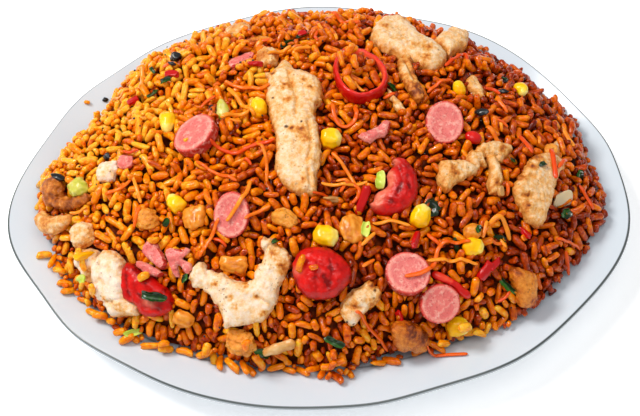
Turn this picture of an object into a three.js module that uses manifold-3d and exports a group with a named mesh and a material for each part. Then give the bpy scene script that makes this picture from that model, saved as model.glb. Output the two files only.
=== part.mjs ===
// A plate of mixed meat rice: a heap of fried rice on an oval, wavy-edged porcelain platter,
// with chicken, sliced sausage, red pepper, corn and spring onion lying on it.
// Millimetres, +Z up. The origin is on the table under the middle of the platter, +X along its length.
import * as THREE from "three";
import { mergeVertices } from "three/addons/utils/BufferGeometryUtils.js";
import Module from "manifold-3d";

const wasm = await Module();
wasm.setup();

// ---- driving dimensions of the platter ----
const PLATE_LENGTH = 300;
const PLATE_WIDTH = 238;
const RIM_HEIGHT = 24; // top of the edge above the table
const RIM_THICKNESS = 2.8; // porcelain at the edge
const SHOULDER_LENGTH = 258; // the oval where rim meets well
const SHOULDER_WIDTH = 194;
const SHOULDER_HEIGHT = 17;
const WELL_FLOOR = 7; // upper face of the well's floor
const WELL_THICKNESS = 4;
const FOOT_HEIGHT = 3;
const FOOT_OUTER = 0.68; // the foot ring as a share of the shoulder oval
const FOOT_INNER = 0.63;
const FOOT_DRAFT = 0.02; // how much wider the foot ring is where it meets the floor
const RIM_ROUND = 0.98; // share of the rim's width where the rounding of the edge starts
const PLATE_SECTORS = 56;

// Lobes of the platter's edge: degrees anticlockwise from +X, share of the plain oval.
const EDGE_WAVES = [
  [3, 0.99], [23, 0.956], [54, 0.989], [67, 0.973], [88, 0.999], [107, 0.968],
  [119, 0.967], [134, 0.944], [144, 0.956], [155, 0.945], [187, 1.004], [206, 0.972],
  [218, 0.989], [229, 0.975], [244, 0.991], [258, 0.996], [267, 0.992], [276, 1.002],
  [286, 0.989], [304, 1.018], [317, 1.008], [339, 1.031],
];

// ---- driving dimensions of the rice heap ----
const HEAP_RISE = 50; // middle of the heap above its edge
const HEAP_FALL = 2.2; // a higher power keeps the top flatter
const HEAP_BROW = 0.6; // a lower power makes the sides steeper
const HEAP_EDGE = 2.6; // one grain's thickness at the foot of the heap
const HEAP_UNEVEN = 1.3; // height of its gentle hummocks
const HUMMOCK_LENGTHS = [69, 57, 107]; // from one hummock to the next: along, across and aslant
const HUMMOCK_START = 1.3; // radians
const ASLANT_SHARE = 0.7; // the slanting hummocks are this much lower
const HEAP_REACH_MEAN = 1.04; // the foot's lobes fade to this plain oval up the heap
const HEAP_SECTORS = 40;
const HEAP_CLEARANCE = 0.5; // air between the heap's underside and the porcelain
const WELL_LIFT = 19; // level that the dome is measured from at its middle
const GAP = 0.3; // clearance between touching pieces
const SLOPE_GAP = 1.5; // gaps straight up that keep one gap off the heap's slopes

// Foot of the heap: degrees anticlockwise from +X, share of the shoulder oval.
const HEAP_REACH = [
  [0, 1.05], [12, 1.06], [30, 1.045], [52, 1.06], [72, 1.08], [98, 1.09], [120, 1.055],
  [134, 1.04], [153, 0.97], [177, 1.07], [200, 1.015], [213, 1.035], [220, 1.0],
  [228, 1.035], [241, 0.965], [255, 1.003], [264, 0.985], [272, 1.015], [284, 0.96],
  [294, 1.0], [307, 1.065], [318, 1.075], [327, 1.055], [341, 1.105], [351, 1.08],
];

// ---- detail of the food solids ----
const MORSEL_SEGMENTS = 8;
const MORSEL_RINGS = 6;
const SMALL_MORSEL = 12; // a shorter morsel has one ring fewer
const KNOB_WAVES = [5, 4, 3]; // how closely a morsel's knobs follow each other
const STRIP_SIDES = 8;
const STRIP_SUNK = 0.25; // share of its thickness that a strip's middle lies above the rice
const STRIP_END = 0.5; // share of its half width that a strip's end bulges out
const SLICE_SECTORS = 14;
const SLICE_THICKNESS = 4.5;
const SLICE_ROUND = 0.9; // how far the rounding of a slice's edge reaches
const HOOP_STEPS = 18;
const HOOP_SIDES = 6;

const TURN = 2 * Math.PI;
const Z_UP = new THREE.Vector3(0, 0, 1);

// Value at an angle from a closed list of [degrees, value], level at each listed angle.
function aroundList(list, angle) {
  const degrees = (((angle / TURN) * 360) % 360 + 360) % 360;
  const after = list.findIndex(([listed]) => listed > degrees);
  const high = list[after === -1 ? 0 : after];
  const low = list[after <= 0 ? list.length - 1 : after - 1];
  const span = (high[0] - low[0] + 360) % 360;
  const share = ((degrees - low[0] + 360) % 360) / span;
  const ease = (1 - Math.cos(Math.PI * share)) / 2;
  return low[1] + (high[1] - low[1]) * ease;
}

// A place in plan at a share of the shoulder oval, at an angle that runs evenly round it.
function ovalPoint(angle, share) {
  const x = (SHOULDER_LENGTH / 2) * share * Math.cos(angle);
  const y = (SHOULDER_WIDTH / 2) * share * Math.sin(angle);
  return new THREE.Vector2(x, y);
}

// The wavy edge in plan, fitted to the platter's length and width about the origin.
function edgeOutline() {
  const raw = [];
  for (let i = 0; i < PLATE_SECTORS; i++) {
    const angle = (i / PLATE_SECTORS) * TURN;
    const swell = aroundList(EDGE_WAVES, angle);
    raw.push(new THREE.Vector2(swell * Math.cos(angle), swell * Math.sin(angle)));
  }
  const box = new THREE.Box2().setFromPoints(raw);
  const size = box.getSize(new THREE.Vector2());
  const middle = box.getCenter(new THREE.Vector2());
  const stretch = new THREE.Vector2(PLATE_LENGTH / size.x, PLATE_WIDTH / size.y);
  return raw.map((point) => point.sub(middle).multiply(stretch));
}

// A closed body from rings of equal count, given from its top middle out and round to its
// bottom middle; each end is closed by a point.
function bodyFromRings(top, rings, bottom) {
  const count = rings[0].length;
  const points = [top, ...rings.flat(), bottom];
  const faces = [];
  const at = (ring, i) => 1 + ring * count + (i % count);
  for (let i = 0; i < count; i++) {
    faces.push(0, at(0, i), at(0, i + 1));
    for (let ring = 0; ring + 1 < rings.length; ring++) {
      faces.push(at(ring, i), at(ring + 1, i), at(ring + 1, i + 1));
      faces.push(at(ring, i), at(ring + 1, i + 1), at(ring, i + 1));
    }
    faces.push(points.length - 1, at(rings.length - 1, i + 1), at(rings.length - 1, i));
  }
  const geometry = new THREE.BufferGeometry().setFromPoints(points);
  geometry.setIndex(faces);
  return geometry;
}

// Upper face of the porcelain: rings of the well as shares of the shoulder oval.
const WELL_SHARES = [0.6, 0.76, 0.88, 0.96, 1];
function wellHeight(share) {
  const climb = Math.max(0, (share - WELL_SHARES[0]) / (1 - WELL_SHARES[0]));
  return WELL_FLOOR + (SHOULDER_HEIGHT - WELL_FLOOR) * climb ** 2;
}

const edge = edgeOutline();

// Share of the shoulder oval at which the edge lies, in the direction of an angle round the oval.
function edgeShare(angle) {
  const shares = edge.map((point) => Math.hypot(point.x / SHOULDER_LENGTH, point.y / SHOULDER_WIDTH) * 2);
  const angles = edge.map((point) => Math.atan2(point.y / SHOULDER_WIDTH, point.x / SHOULDER_LENGTH));
  const turned = angles.map((each) => Math.abs(Math.atan2(Math.sin(each - angle), Math.cos(each - angle))));
  return shares[turned.indexOf(Math.min(...turned))];
}

// Height of the porcelain's upper face, flat between its rings as the solid is.
function plateTop(angle, share) {
  if (share >= 1) {
    const out = (share - 1) / (edgeShare(angle) - 1);
    return SHOULDER_HEIGHT + (RIM_HEIGHT - SHOULDER_HEIGHT) * out;
  }
  const above = WELL_SHARES.findIndex((each) => each > share);
  if (above <= 0) {
    return WELL_FLOOR;
  }
  const [near, far] = [WELL_SHARES[above - 1], WELL_SHARES[above]];
  const part = (share - near) / (far - near);
  return wellHeight(near) + (wellHeight(far) - wellHeight(near)) * part;
}

function plateGeometry() {
  const wellRing = (share, z) =>
    edge.map((_, i) => {
      const point = ovalPoint((i / PLATE_SECTORS) * TURN, share);
      return new THREE.Vector3(point.x, point.y, z);
    });
  const rimRing = (share, z) =>
    edge.map((outer, i) => {
      const point = ovalPoint((i / PLATE_SECTORS) * TURN, 1).lerp(outer, share);
      return new THREE.Vector3(point.x, point.y, z);
    });
  const rings = WELL_SHARES.map((share) => wellRing(share, wellHeight(share)));
  rings.push(rimRing(RIM_ROUND, RIM_HEIGHT));
  rings.push(rimRing(1, RIM_HEIGHT - RIM_THICKNESS / 2));
  rings.push(rimRing(RIM_ROUND, RIM_HEIGHT - RIM_THICKNESS));
  rings.push(wellRing(1, SHOULDER_HEIGHT - WELL_THICKNESS));
  rings.push(wellRing(FOOT_OUTER + FOOT_DRAFT, FOOT_HEIGHT));
  rings.push(wellRing(FOOT_OUTER, 0));
  rings.push(wellRing(FOOT_INNER, 0));
  rings.push(wellRing(FOOT_INNER - FOOT_DRAFT, FOOT_HEIGHT));
  const top = new THREE.Vector3(0, 0, WELL_FLOOR);
  const bottom = new THREE.Vector3(0, 0, FOOT_HEIGHT);
  return bodyFromRings(top, rings, bottom);
}

function hummocks(x, y) {
  const [along, across, aslant] = HUMMOCK_LENGTHS.map((length) => TURN / length);
  const crossed = Math.sin(x * along + HUMMOCK_START) * Math.cos(y * across);
  return crossed + ASLANT_SHARE * Math.sin((x + y) * aslant);
}

// Top of the heap at a place in plan; outside its foot the height of the foot.
function heapTop(x, y) {
  const angle = Math.atan2(y / SHOULDER_WIDTH, x / SHOULDER_LENGTH);
  const reach = aroundList(HEAP_REACH, angle);
  const out = Math.hypot(x / SHOULDER_LENGTH, y / SHOULDER_WIDTH) * 2;
  const nearFoot = Math.min(1, out / reach);
  const share = Math.min(1, out / (HEAP_REACH_MEAN + (reach - HEAP_REACH_MEAN) * nearFoot ** 4));
  const dome = HEAP_RISE * (1 - share ** HEAP_FALL) ** HEAP_BROW;
  const base = THREE.MathUtils.lerp(WELL_LIFT, plateTop(angle, reach), share ** 2);
  return base + HEAP_EDGE + dome + HEAP_UNEVEN * hummocks(x, y) * (1 - share ** 6);
}

function heapGeometry(grow) {
  const spread = 1 + (2 * SLOPE_GAP * grow) / SHOULDER_WIDTH;
  const widen = new THREE.Vector3(spread, spread, 1);
  const ringAt = (share, height) => {
    const ring = [];
    for (let i = 0; i < HEAP_SECTORS; i++) {
      const angle = (i / HEAP_SECTORS) * TURN;
      const reach = aroundList(HEAP_REACH, angle) * share;
      const point = ovalPoint(angle, reach);
      const z = height(point.x, point.y, angle, reach);
      ring.push(new THREE.Vector3(point.x, point.y, z).multiply(widen));
    }
    return ring;
  };
  const upper = (x, y) => heapTop(x, y) + SLOPE_GAP * grow;
  const lower = (x, y, angle, share) => plateTop(angle, share) + HEAP_CLEARANCE - grow;
  const rings = [];
  for (const share of [0.2, 0.4, 0.58, 0.72, 0.84, 0.92, 0.97, 1]) {
    rings.push(ringAt(share, upper));
  }
  for (const share of [1, 0.9, 0.75]) {
    rings.push(ringAt(share, lower));
  }
  const top = new THREE.Vector3(0, 0, upper(0, 0));
  const bottom = new THREE.Vector3(0, 0, WELL_FLOOR + HEAP_CLEARANCE - grow);
  return bodyFromRings(top, rings, bottom);
}

// ---- food that lies on the heap ----

// Outward direction of the heap's top at a place.
function heapNormal(x, y) {
  const step = 2;
  const slopeX = (heapTop(x + step, y) - heapTop(x - step, y)) / (2 * step);
  const slopeY = (heapTop(x, y + step) - heapTop(x, y - step)) / (2 * step);
  return new THREE.Vector3(-slopeX, -slopeY, 1).normalize();
}

// Moves a shape made about the origin onto the heap: its +Z to `facing`, its +X along the platter.
function lay(geometry, { at, facing, turn = 0, lift = 0 }) {
  const [x, y] = at;
  const up = facing ? new THREE.Vector3(...facing).normalize() : heapNormal(x, y);
  const along = new THREE.Vector3(1, 0, 0).addScaledVector(up, -up.x).normalize();
  const across = new THREE.Vector3().crossVectors(up, along);
  const place = new THREE.Matrix4().makeBasis(along, across, up);
  const centre = new THREE.Vector3(x, y, heapTop(x, y)).addScaledVector(up, lift);
  geometry.rotateZ(THREE.MathUtils.degToRad(turn));
  return geometry.applyMatrix4(place.setPosition(centre));
}

// A lump between an ellipsoid (square 2) and a brick (square 6), with soft knobs on it.
// A taper draws its +X end to a point.
function morsel(piece, grow) {
  const { size, square = 2.5, knobs = 0.05, taper = 0 } = piece;
  const ringCount = size[0] < SMALL_MORSEL ? MORSEL_RINGS - 1 : MORSEL_RINGS;
  const geometry = new THREE.SphereGeometry(1, MORSEL_SEGMENTS, ringCount);
  geometry.rotateX(Math.PI / 2);
  const points = geometry.getAttribute("position");
  const point = new THREE.Vector3();
  for (let i = 0; i < points.count; i++) {
    point.fromBufferAttribute(points, i);
    const power = [point.x, point.y, point.z].reduce((sum, each) => sum + Math.abs(each) ** square, 0);
    const wave = point.clone().multiply(new THREE.Vector3(...KNOB_WAVES));
    const knob = Math.sin(wave.x + size[0]) * Math.sin(wave.y + size[1]) * Math.cos(wave.z);
    point.multiplyScalar(power ** (-1 / square) * (1 + knobs * knob));
    const narrow = 1 - taper * (point.x + 1) / 2;
    point.x *= size[0] / 2 + grow;
    point.y *= narrow * (size[1] / 2 + grow);
    point.z *= size[2] / 2 + grow;
    points.setXYZ(i, point.x, point.y, point.z);
  }
  return lay(geometry, piece);
}

// A soft strip draped on the heap. Its route holds places in plan with the half width there.
function strip(piece, grow) {
  const { route, thick, lift = thick * STRIP_SUNK, steps = route.length } = piece;
  const middle = route[Math.floor(route.length / 2)];
  const up = heapNormal(middle[0], middle[1]);
  const places = route.map(([x, y]) => new THREE.Vector3(x, y, heapTop(x, y)).addScaledVector(up, lift));
  const curve = new THREE.CatmullRomCurve3(places, false, "centripetal");
  const widest = Math.max(...route.map((stop) => stop[2]));
  const rings = [];
  for (let step = 0; step <= steps; step++) {
    const t = step / steps;
    const stop = Math.min(route.length - 2, Math.floor(t * (route.length - 1)));
    const part = t * (route.length - 1) - stop;
    const half = THREE.MathUtils.lerp(route[stop][2], route[stop + 1][2], part);
    const side = new THREE.Vector3().crossVectors(curve.getTangent(t), up).normalize();
    const top = new THREE.Vector3().crossVectors(side, curve.getTangent(t)).normalize();
    const tall = (thick / 2) * Math.sqrt(half / widest) + grow;
    const ring = [];
    for (let i = 0; i < STRIP_SIDES; i++) {
      const angle = (i / STRIP_SIDES) * TURN;
      const point = curve.getPoint(t);
      point.addScaledVector(side, (half + grow) * Math.cos(angle));
      ring.push(point.addScaledVector(top, tall * Math.sin(angle)));
    }
    rings.push(ring);
  }
  const [first, last] = [curve.getTangent(0), curve.getTangent(1)];
  const bulge = (stop) => stop[2] * STRIP_END + grow;
  const start = curve.getPoint(0).addScaledVector(first, -bulge(route[0]));
  const end = curve.getPoint(1).addScaledVector(last, bulge(route.at(-1)));
  return bodyFromRings(start, rings, end);
}

// A slice of sausage: a thick disc with a rounded edge, stretched where it was cut aslant.
function slice(piece, grow) {
  const { radius, thick = SLICE_THICKNESS, stretch = 1 } = piece;
  const [outer, half] = [radius + grow, thick / 2 + grow];
  const profile = [
    [0, -half], [outer - SLICE_ROUND, -half], [outer, SLICE_ROUND - half],
    [outer, half - SLICE_ROUND], [outer - SLICE_ROUND, half], [0, half],
  ];
  const geometry = new THREE.LatheGeometry(
    profile.map(([r, z]) => new THREE.Vector2(r, z)), SLICE_SECTORS,
  );
  geometry.rotateX(Math.PI / 2);
  geometry.scale(stretch, 1, 1);
  return lay(geometry, piece);
}

// A thin ring of pepper; its route is closed and holds places in plan.
function hoop(piece, grow) {
  const { route, width, tall, lift } = piece;
  const places = route.map(([x, y]) => new THREE.Vector3(x, y, heapTop(x, y) + lift));
  const curve = new THREE.CatmullRomCurve3(places, true, "centripetal");
  const points = [];
  const faces = [];
  for (let step = 0; step < HOOP_STEPS; step++) {
    const t = step / HOOP_STEPS;
    const side = new THREE.Vector3().crossVectors(curve.getTangent(t), Z_UP).normalize();
    for (let i = 0; i < HOOP_SIDES; i++) {
      const angle = (i / HOOP_SIDES) * TURN;
      const point = curve.getPoint(t).addScaledVector(side, (width / 2 + grow) * Math.cos(angle));
      points.push(point.addScaledVector(Z_UP, (tall / 2 + grow) * Math.sin(angle)));
      const [here, next] = [step * HOOP_SIDES, ((step + 1) % HOOP_STEPS) * HOOP_SIDES];
      const after = (i + 1) % HOOP_SIDES;
      faces.push(here + i, next + i, next + after, here + i, next + after, here + after);
    }
  }
  const geometry = new THREE.BufferGeometry().setFromPoints(points);
  geometry.setIndex(faces);
  return geometry;
}

// ---- closed solids ----

function solidOf(geometry) {
  for (const unused of ["normal", "uv"]) {
    geometry.deleteAttribute(unused);
  }
  const merged = mergeVertices(geometry, 1e-4);
  const vertProperties = merged.getAttribute("position").array;
  const triVerts = new Uint32Array(merged.index.array);
  return new wasm.Manifold(new wasm.Mesh({ numProp: 3, vertProperties, triVerts }));
}

function geometryOf(solid) {
  const { vertProperties, triVerts } = solid.getMesh();
  const geometry = new THREE.BufferGeometry();
  geometry.setAttribute("position", new THREE.BufferAttribute(vertProperties, 3));
  geometry.setIndex(new THREE.BufferAttribute(triVerts, 1));
  return geometry;
}

function boxesMeet(one, other) {
  const [a, b] = [one.boundingBox(), other.boundingBox()];
  return [0, 1, 2].every((axis) => a.min[axis] < b.max[axis] && b.min[axis] < a.max[axis]);
}

function largestOf(solid) {
  const bodies = solid.decompose();
  return bodies.reduce((most, body) => (body.volume() > most.volume() ? body : most));
}

// ---- serving ----
const plateOfRice = new THREE.Group();
const room = []; // what is on the platter already, each a little larger than it is

function serve(name, solid, spaceTaken, material) {
  const free = room.filter((other) => boxesMeet(solid, other));
  const body = largestOf(free.reduce((rest, other) => rest.subtract(other), solid));
  const mesh = new THREE.Mesh(geometryOf(body), material);
  mesh.name = name;
  plateOfRice.add(mesh);
  room.push(spaceTaken);
}

const MAKERS = { morsel, strip, slice, hoop };
function makePiece(piece, grow) {
  const whole = piece.parts ?? [piece];
  const solids = whole.map((part) => solidOf(MAKERS[part.shape](part, grow)));
  return solids.reduce((sum, each) => sum.add(each));
}

function paint(hex, roughness) {
  return new THREE.MeshStandardMaterial({ color: hex, roughness, metalness: 0, flatShading: true });
}
const PORCELAIN = paint(0xe4e8ec, 0.18);
const RICE = paint(0xc87421, 0.5);
const CHICKEN = paint(0xe3bd86, 0.6);
const BROWNED = paint(0xb8722c, 0.5);
const SAUSAGE = paint(0xdf8080, 0.45);
const SAUSAGE_SKIN = paint(0xb8251f, 0.3);
const PEPPER = paint(0xb01a20, 0.25);
const CORN = paint(0xf2c21a, 0.3);
const ONION = paint(0xd99a4a, 0.35);
const LEEK = paint(0xa9c04e, 0.4);

// Places are in plan, millimetres from the platter's middle; sizes are length, width and height.
// The first in the list lies on top: each later piece gives way to those before it.
const TOPPINGS = [
  // chicken strips
  { name: "chicken_long_strip", shape: "strip", paint: CHICKEN, thick: 13,
    route: [[-9, 35, 4], [-9, 29, 9.5], [-9, 20, 12.5], [-9, 11, 12], [-8.5, 2, 10.5], [-9.5, -9, 10],
      [-9.8, -19, 10.4], [-9.3, -26, 9.4], [-8, -33, 6]] },
  { name: "chicken_twin_lobe", shape: "strip", paint: CHICKEN, thick: 13,
    route: [[35, 64, 5.5], [39.5, 63.5, 8.5], [45, 58, 8.5], [49.5, 50.5, 7], [54.5, 45.5, 8],
      [59, 40.5, 7], [62, 37.5, 4]] },
  { name: "chicken_bent_strip", paint: CHICKEN, parts: [
    { shape: "strip", thick: 13, steps: 7, route: [[-59, -61.5, 3.5], [-55.5, -62, 5.5], [-48.5, -65.5, 6],
      [-43, -71, 7.5], [-38.5, -76.5, 8.5], [-38, -80, 6]] },
    { shape: "strip", thick: 13, steps: 7, route: [[-35.5, -78.5, 6], [-30, -75.5, 7.5], [-26, -70, 7.5],
      [-23.5, -64.5, 6], [-23, -59, 5.5], [-27, -55, 3]] },
    { shape: "morsel", at: [-41.5, -78], lift: 3, size: [15, 12, 10], square: 3, turn: 20 }] },
  { name: "chicken_right_slab", shape: "strip", paint: CHICKEN, thick: 10,
    route: [[102, -14, 4], [100.5, -20, 8.5], [97.5, -27.5, 9], [95, -33.5, 9], [95.5, -38.5, 7.5],
      [95.2, -44, 4.5], [95, -47.5, 2.5]] },
  { name: "chicken_forked_bite", paint: CHICKEN, parts: [
    { shape: "strip", thick: 9, steps: 8, route: [[53, -35, 2], [55, -30, 5], [61, -27, 4.5],
      [66.5, -24, 3.5], [70.5, -19.5, 3], [75.5, -15.5, 4], [81, -14.5, 4.5], [85, -14, 2.5]] },
    { shape: "strip", thick: 7, steps: 4, route: [[77.5, -18, 2.5], [77.5, -23.5, 3], [77.5, -29.5, 3.5],
      [77, -34, 2.5]] }] },

  // red ends of sausage, and the sausage slices
  { name: "sausage_end_front", shape: "morsel", paint: SAUSAGE_SKIN, at: [-4, -69.5], lift: 1,
    size: [27, 24.5, 17], square: 2.1, knobs: 0.03, facing: [0, -0.5, 0.86] },
  { name: "sausage_end_left", shape: "morsel", paint: SAUSAGE_SKIN, at: [-80.5, -63], lift: 0.5,
    size: [26, 23.5, 13], square: 2.2, knobs: 0.05, turn: -45, facing: [-0.35, -0.6, 0.72] },
  { name: "sausage_end_curved", shape: "strip", paint: SAUSAGE_SKIN, thick: 13,
    route: [[30, -23, 2.5], [34, -28, 5], [35, -34, 7], [31, -41, 6.5], [24.5, -43, 4.5]] },
  { name: "sausage_slice_left", shape: "slice", paint: SAUSAGE, at: [-53.5, 0], lift: 3,
    radius: 8.8, stretch: 1.2, turn: 35, facing: [-0.4, 0.06, 0.91] },
  { name: "sausage_slice_right", shape: "slice", paint: SAUSAGE, at: [59, 0], lift: 4,
    radius: 9.6, stretch: 0.88, facing: [0.05, -0.4, 0.92] },
  { name: "sausage_slice_lower", shape: "slice", paint: SAUSAGE, at: [47, -79.5], lift: 3,
    radius: 9, stretch: 1.05, facing: [0.12, -0.65, 0.75] },
  { name: "sausage_slice_front", shape: "slice", paint: SAUSAGE, at: [34.5, -71], lift: 3,
    radius: 8.6, stretch: 1.08, facing: [0.05, -0.4, 0.9] },
  { name: "sausage_slice_middle", shape: "slice", paint: SAUSAGE, at: [-40.5, -40], lift: 3,
    radius: 9, stretch: 0.85, facing: [-0.1, -0.5, 0.85] },
  { name: "sausage_half_low", shape: "morsel", paint: SAUSAGE, at: [-78, -54.5], lift: 3,
    size: [13, 7, 5], square: 2.6, turn: -25, facing: [-0.3, -0.5, 0.8] },
  { name: "sausage_half_high", shape: "morsel", paint: SAUSAGE, at: [-74.5, -49], lift: 3,
    size: [14, 8, 5], square: 2.6, turn: -55, facing: [-0.3, -0.5, 0.8] },
  { name: "sausage_torn_bit", shape: "morsel", paint: SAUSAGE, at: [-65.5, -55.5], lift: 2,
    size: [13, 11.5, 4.5], square: 2.6, knobs: 0.24, turn: -20 },
  { name: "sausage_ragged_bit", shape: "strip", paint: SAUSAGE, thick: 3.5,
    route: [[19, -10, 1.5], [24.5, -8, 3.5], [30.5, -3.5, 4]] },
  { name: "sausage_back_strip", shape: "strip", paint: SAUSAGE, thick: 4,
    route: [[-37.5, 44.5, 3], [-33, 48, 3.5], [-27, 51.5, 2.5]] },

  // sweetcorn
  { name: "corn_kernel_1", shape: "morsel", paint: CORN, at: [-68.5, 12.5], lift: 2,
    size: [10.5, 8.8, 6.5], taper: 0.5, turn: -95, facing: [-0.1, -0.2, 1] },
  { name: "corn_kernel_2", shape: "morsel", paint: CORN, at: [-26, 13.5], lift: 2,
    size: [9.5, 8.6, 7], taper: 0.3, turn: 95, facing: [0, -0.2, 1] },
  { name: "corn_kernel_3", shape: "morsel", paint: CORN, at: [5.5, -8.5], lift: 2,
    size: [9.4, 9.2, 7], taper: 0.08, facing: [0, -0.4, 1] },
  { name: "corn_kernel_4", shape: "morsel", paint: CORN, at: [-65.5, -31], lift: 2,
    size: [9.6, 8.6, 6.5], taper: 0.45, turn: 125 },
  { name: "corn_kernel_5", shape: "morsel", paint: CORN, at: [69.5, 23.5], lift: 1.6,
    size: [7.6, 6, 5.4], taper: 0.3, turn: 100 },
  { name: "corn_kernel_6", shape: "morsel", paint: CORN, at: [101, 27], lift: 1.6,
    size: [7.8, 6, 5.4], taper: 0.3, turn: -70 },
  { name: "corn_kernel_7", shape: "morsel", paint: CORN, at: [42, -47], lift: 2,
    size: [10.4, 9.6, 7], taper: 0.25, knobs: 0.1, turn: 70 },
  { name: "corn_kernel_8", shape: "morsel", paint: CORN, at: [-1, -55.5], lift: 2,
    size: [10.6, 8.2, 6.4], square: 3.6, turn: -22 },
  { name: "corn_kernel_9", shape: "morsel", paint: CORN, at: [64, -60], lift: 2,
    size: [9.2, 7.6, 6.4], taper: 0.1, square: 2.8 },
  { name: "corn_kernel_10", shape: "morsel", paint: CORN, at: [55.5, -85.5], lift: 2,
    size: [9.6, 8.6, 7], taper: 0.1, square: 2.8, facing: [0.1, -0.6, 0.8] },

  // red pepper
  { name: "pepper_ring", shape: "hoop", paint: PEPPER, width: 2.4, tall: 4, lift: 2,
    route: [[13, 38], [17.5, 45], [23, 46], [29, 41.5], [33, 33], [34.5, 25], [32.5, 18], [27, 13.5],
      [20.5, 12], [15.5, 14.5], [12.5, 22], [11.5, 31]] },
  { name: "pepper_strip", shape: "strip", paint: PEPPER, thick: 4,
    route: [[45.5, -70, 1.3], [51, -72.5, 1.9], [57, -75.5, 1.9], [61, -77.5, 1.3]] },
  { name: "pepper_bit", shape: "morsel", paint: PEPPER, at: [71, -9], lift: 1.5,
    size: [8, 5.5, 4.5], turn: -20 },

  // lumps of chicken
  { name: "chicken_left_lump", paint: CHICKEN, parts: [
    { shape: "strip", thick: 15, steps: 7, route: [[-98, -43, 4], [-98, -48.5, 7], [-98, -53.5, 6.5],
      [-96, -59.5, 6], [-92, -64.5, 6], [-88, -67.5, 3]] },
    { shape: "morsel", at: [-105.5, -45.5], lift: 2, size: [13, 13, 10], knobs: 0.1 }] },
  { name: "chicken_bean", shape: "strip", paint: CHICKEN, thick: 12,
    route: [[16.5, -73, 3.5], [13.5, -76.5, 6], [9, -80, 6.5], [5, -84, 5]] },
  { name: "chicken_front_cube", shape: "morsel", paint: BROWNED, at: [33, -88], lift: 1,
    size: [16.5, 12, 12], square: 4, knobs: 0.02, facing: [0, -0.5, 0.86] },
  { name: "chicken_right_block", shape: "morsel", paint: BROWNED, at: [86.5, -72.2], lift: 1,
    size: [17.5, 9.5, 9], square: 4.5, knobs: 0.02, turn: -78, facing: [0.3, -0.6, 0.75] },
  { name: "chicken_back_chunk", shape: "morsel", paint: CHICKEN, at: [71, 56], lift: 2,
    size: [17, 13, 12], square: 2.8, knobs: 0.12, turn: 10 },
  { name: "chicken_finger", shape: "strip", paint: BROWNED, thick: 7,
    route: [[44.5, 37, 2.5], [43.5, 32.5, 4], [44.5, 25, 4], [46.5, 17, 4], [47.5, 12.5, 2.5]] },
  { name: "chicken_sliver", shape: "strip", paint: CHICKEN, thick: 4.5,
    route: [[35.5, 17, 1.5], [37, 11.5, 2.3], [39, 6, 2.3]] },
  { name: "chicken_back_cube", shape: "morsel", paint: CHICKEN, at: [-33, 75], lift: 1,
    size: [12.5, 9, 9], square: 4, knobs: 0.03, turn: 15 },
  { name: "chicken_fibrous_bite", shape: "morsel", paint: CHICKEN, at: [-20, 45], lift: 1.5,
    size: [10, 12.5, 9], knobs: 0.1 },
  { name: "chicken_browned_scrap", shape: "strip", paint: BROWNED, thick: 4.5,
    route: [[-29, 62.5, 2], [-23, 63.5, 3], [-18, 60, 2.4]] },
  { name: "chicken_charred_curl", paint: BROWNED, parts: [
    { shape: "morsel", at: [-124, -3.5], lift: 0, size: [12, 13, 12], knobs: 0.1 },
    { shape: "strip", thick: 6, route: [[-126, -7, 3], [-120, -12, 2.5], [-111.5, -15, 2.5],
      [-107, -14.5, 2]] }] },
  { name: "chicken_golden_wedge", shape: "strip", paint: CHICKEN, thick: 8,
    route: [[-131, -12, 3.5], [-127, -17, 5], [-120.5, -20, 4], [-115.5, -20, 1.6]] },
  { name: "chicken_golden_ball", shape: "morsel", paint: BROWNED, at: [-109.5, -31.5], lift: 1,
    size: [12.5, 12, 11], square: 2.6, knobs: 0.04 },
  { name: "chicken_pale_cube", shape: "morsel", paint: CHICKEN, at: [-97, -6], lift: 1,
    size: [10.5, 11, 8], square: 3, knobs: 0.08, turn: -10 },
  { name: "sausage_far_left_bit", shape: "morsel", paint: SAUSAGE, at: [-88.5, -4], lift: 1,
    size: [9, 7, 5], knobs: 0.1, turn: -20 },
  { name: "chicken_right_scrap", shape: "morsel", paint: BROWNED, at: [110, -9], lift: 1, size: [7.5, 8, 7] },
  { name: "chicken_middle_scrap", shape: "morsel", paint: BROWNED, at: [-18, -46], lift: 1,
    size: [12, 8, 6], knobs: 0.14, turn: -30 },
  { name: "chicken_left_scrap", shape: "morsel", paint: BROWNED, at: [-79, -35], lift: 1,
    size: [10, 9, 7], square: 3, knobs: 0.08 },
  { name: "chicken_front_nugget", shape: "morsel", paint: BROWNED, at: [-41, -87], lift: 1,
    size: [12.5, 11.5, 9], knobs: 0.12 },

  // onion, cooked to a golden glaze, and leek
  { name: "onion_piece_front", shape: "strip", paint: ONION, thick: 4,
    route: [[-31.5, -91.5, 1.6], [-25, -91, 2.8], [-18.5, -90, 2.5]] },
  { name: "onion_piece_left", shape: "morsel", paint: ONION, at: [-66, -74.5], lift: 1,
    size: [10, 8, 6], square: 3, turn: -30 },
  { name: "onion_piece_crook", shape: "morsel", paint: ONION, at: [-42, -60.5], lift: 1,
    size: [14, 8, 5], turn: -10 },
  { name: "onion_piece_round", shape: "morsel", paint: ONION, at: [-58, -39], lift: 1, size: [11, 11.5, 5] },
  { name: "onion_piece_middle", shape: "morsel", paint: ONION, at: [11, -52.5], lift: 1,
    size: [11.5, 13, 5], knobs: 0.15, square: 3 },
  { name: "onion_piece_right", shape: "morsel", paint: ONION, at: [65, -54], lift: 1, size: [9, 7, 4.5] },
  { name: "leek_cube", shape: "morsel", paint: LEEK, at: [-111.5, -8.5], lift: 1.5,
    size: [9, 9.5, 7], square: 4.5, knobs: 0, turn: 25 },
  { name: "leek_wedge", shape: "morsel", paint: LEEK, at: [-43, 15.5], lift: 2,
    size: [11, 9.5, 4], square: 3, knobs: 0, taper: 0.8, turn: 90, facing: [0, -0.3, 0.9] },
];

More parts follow.
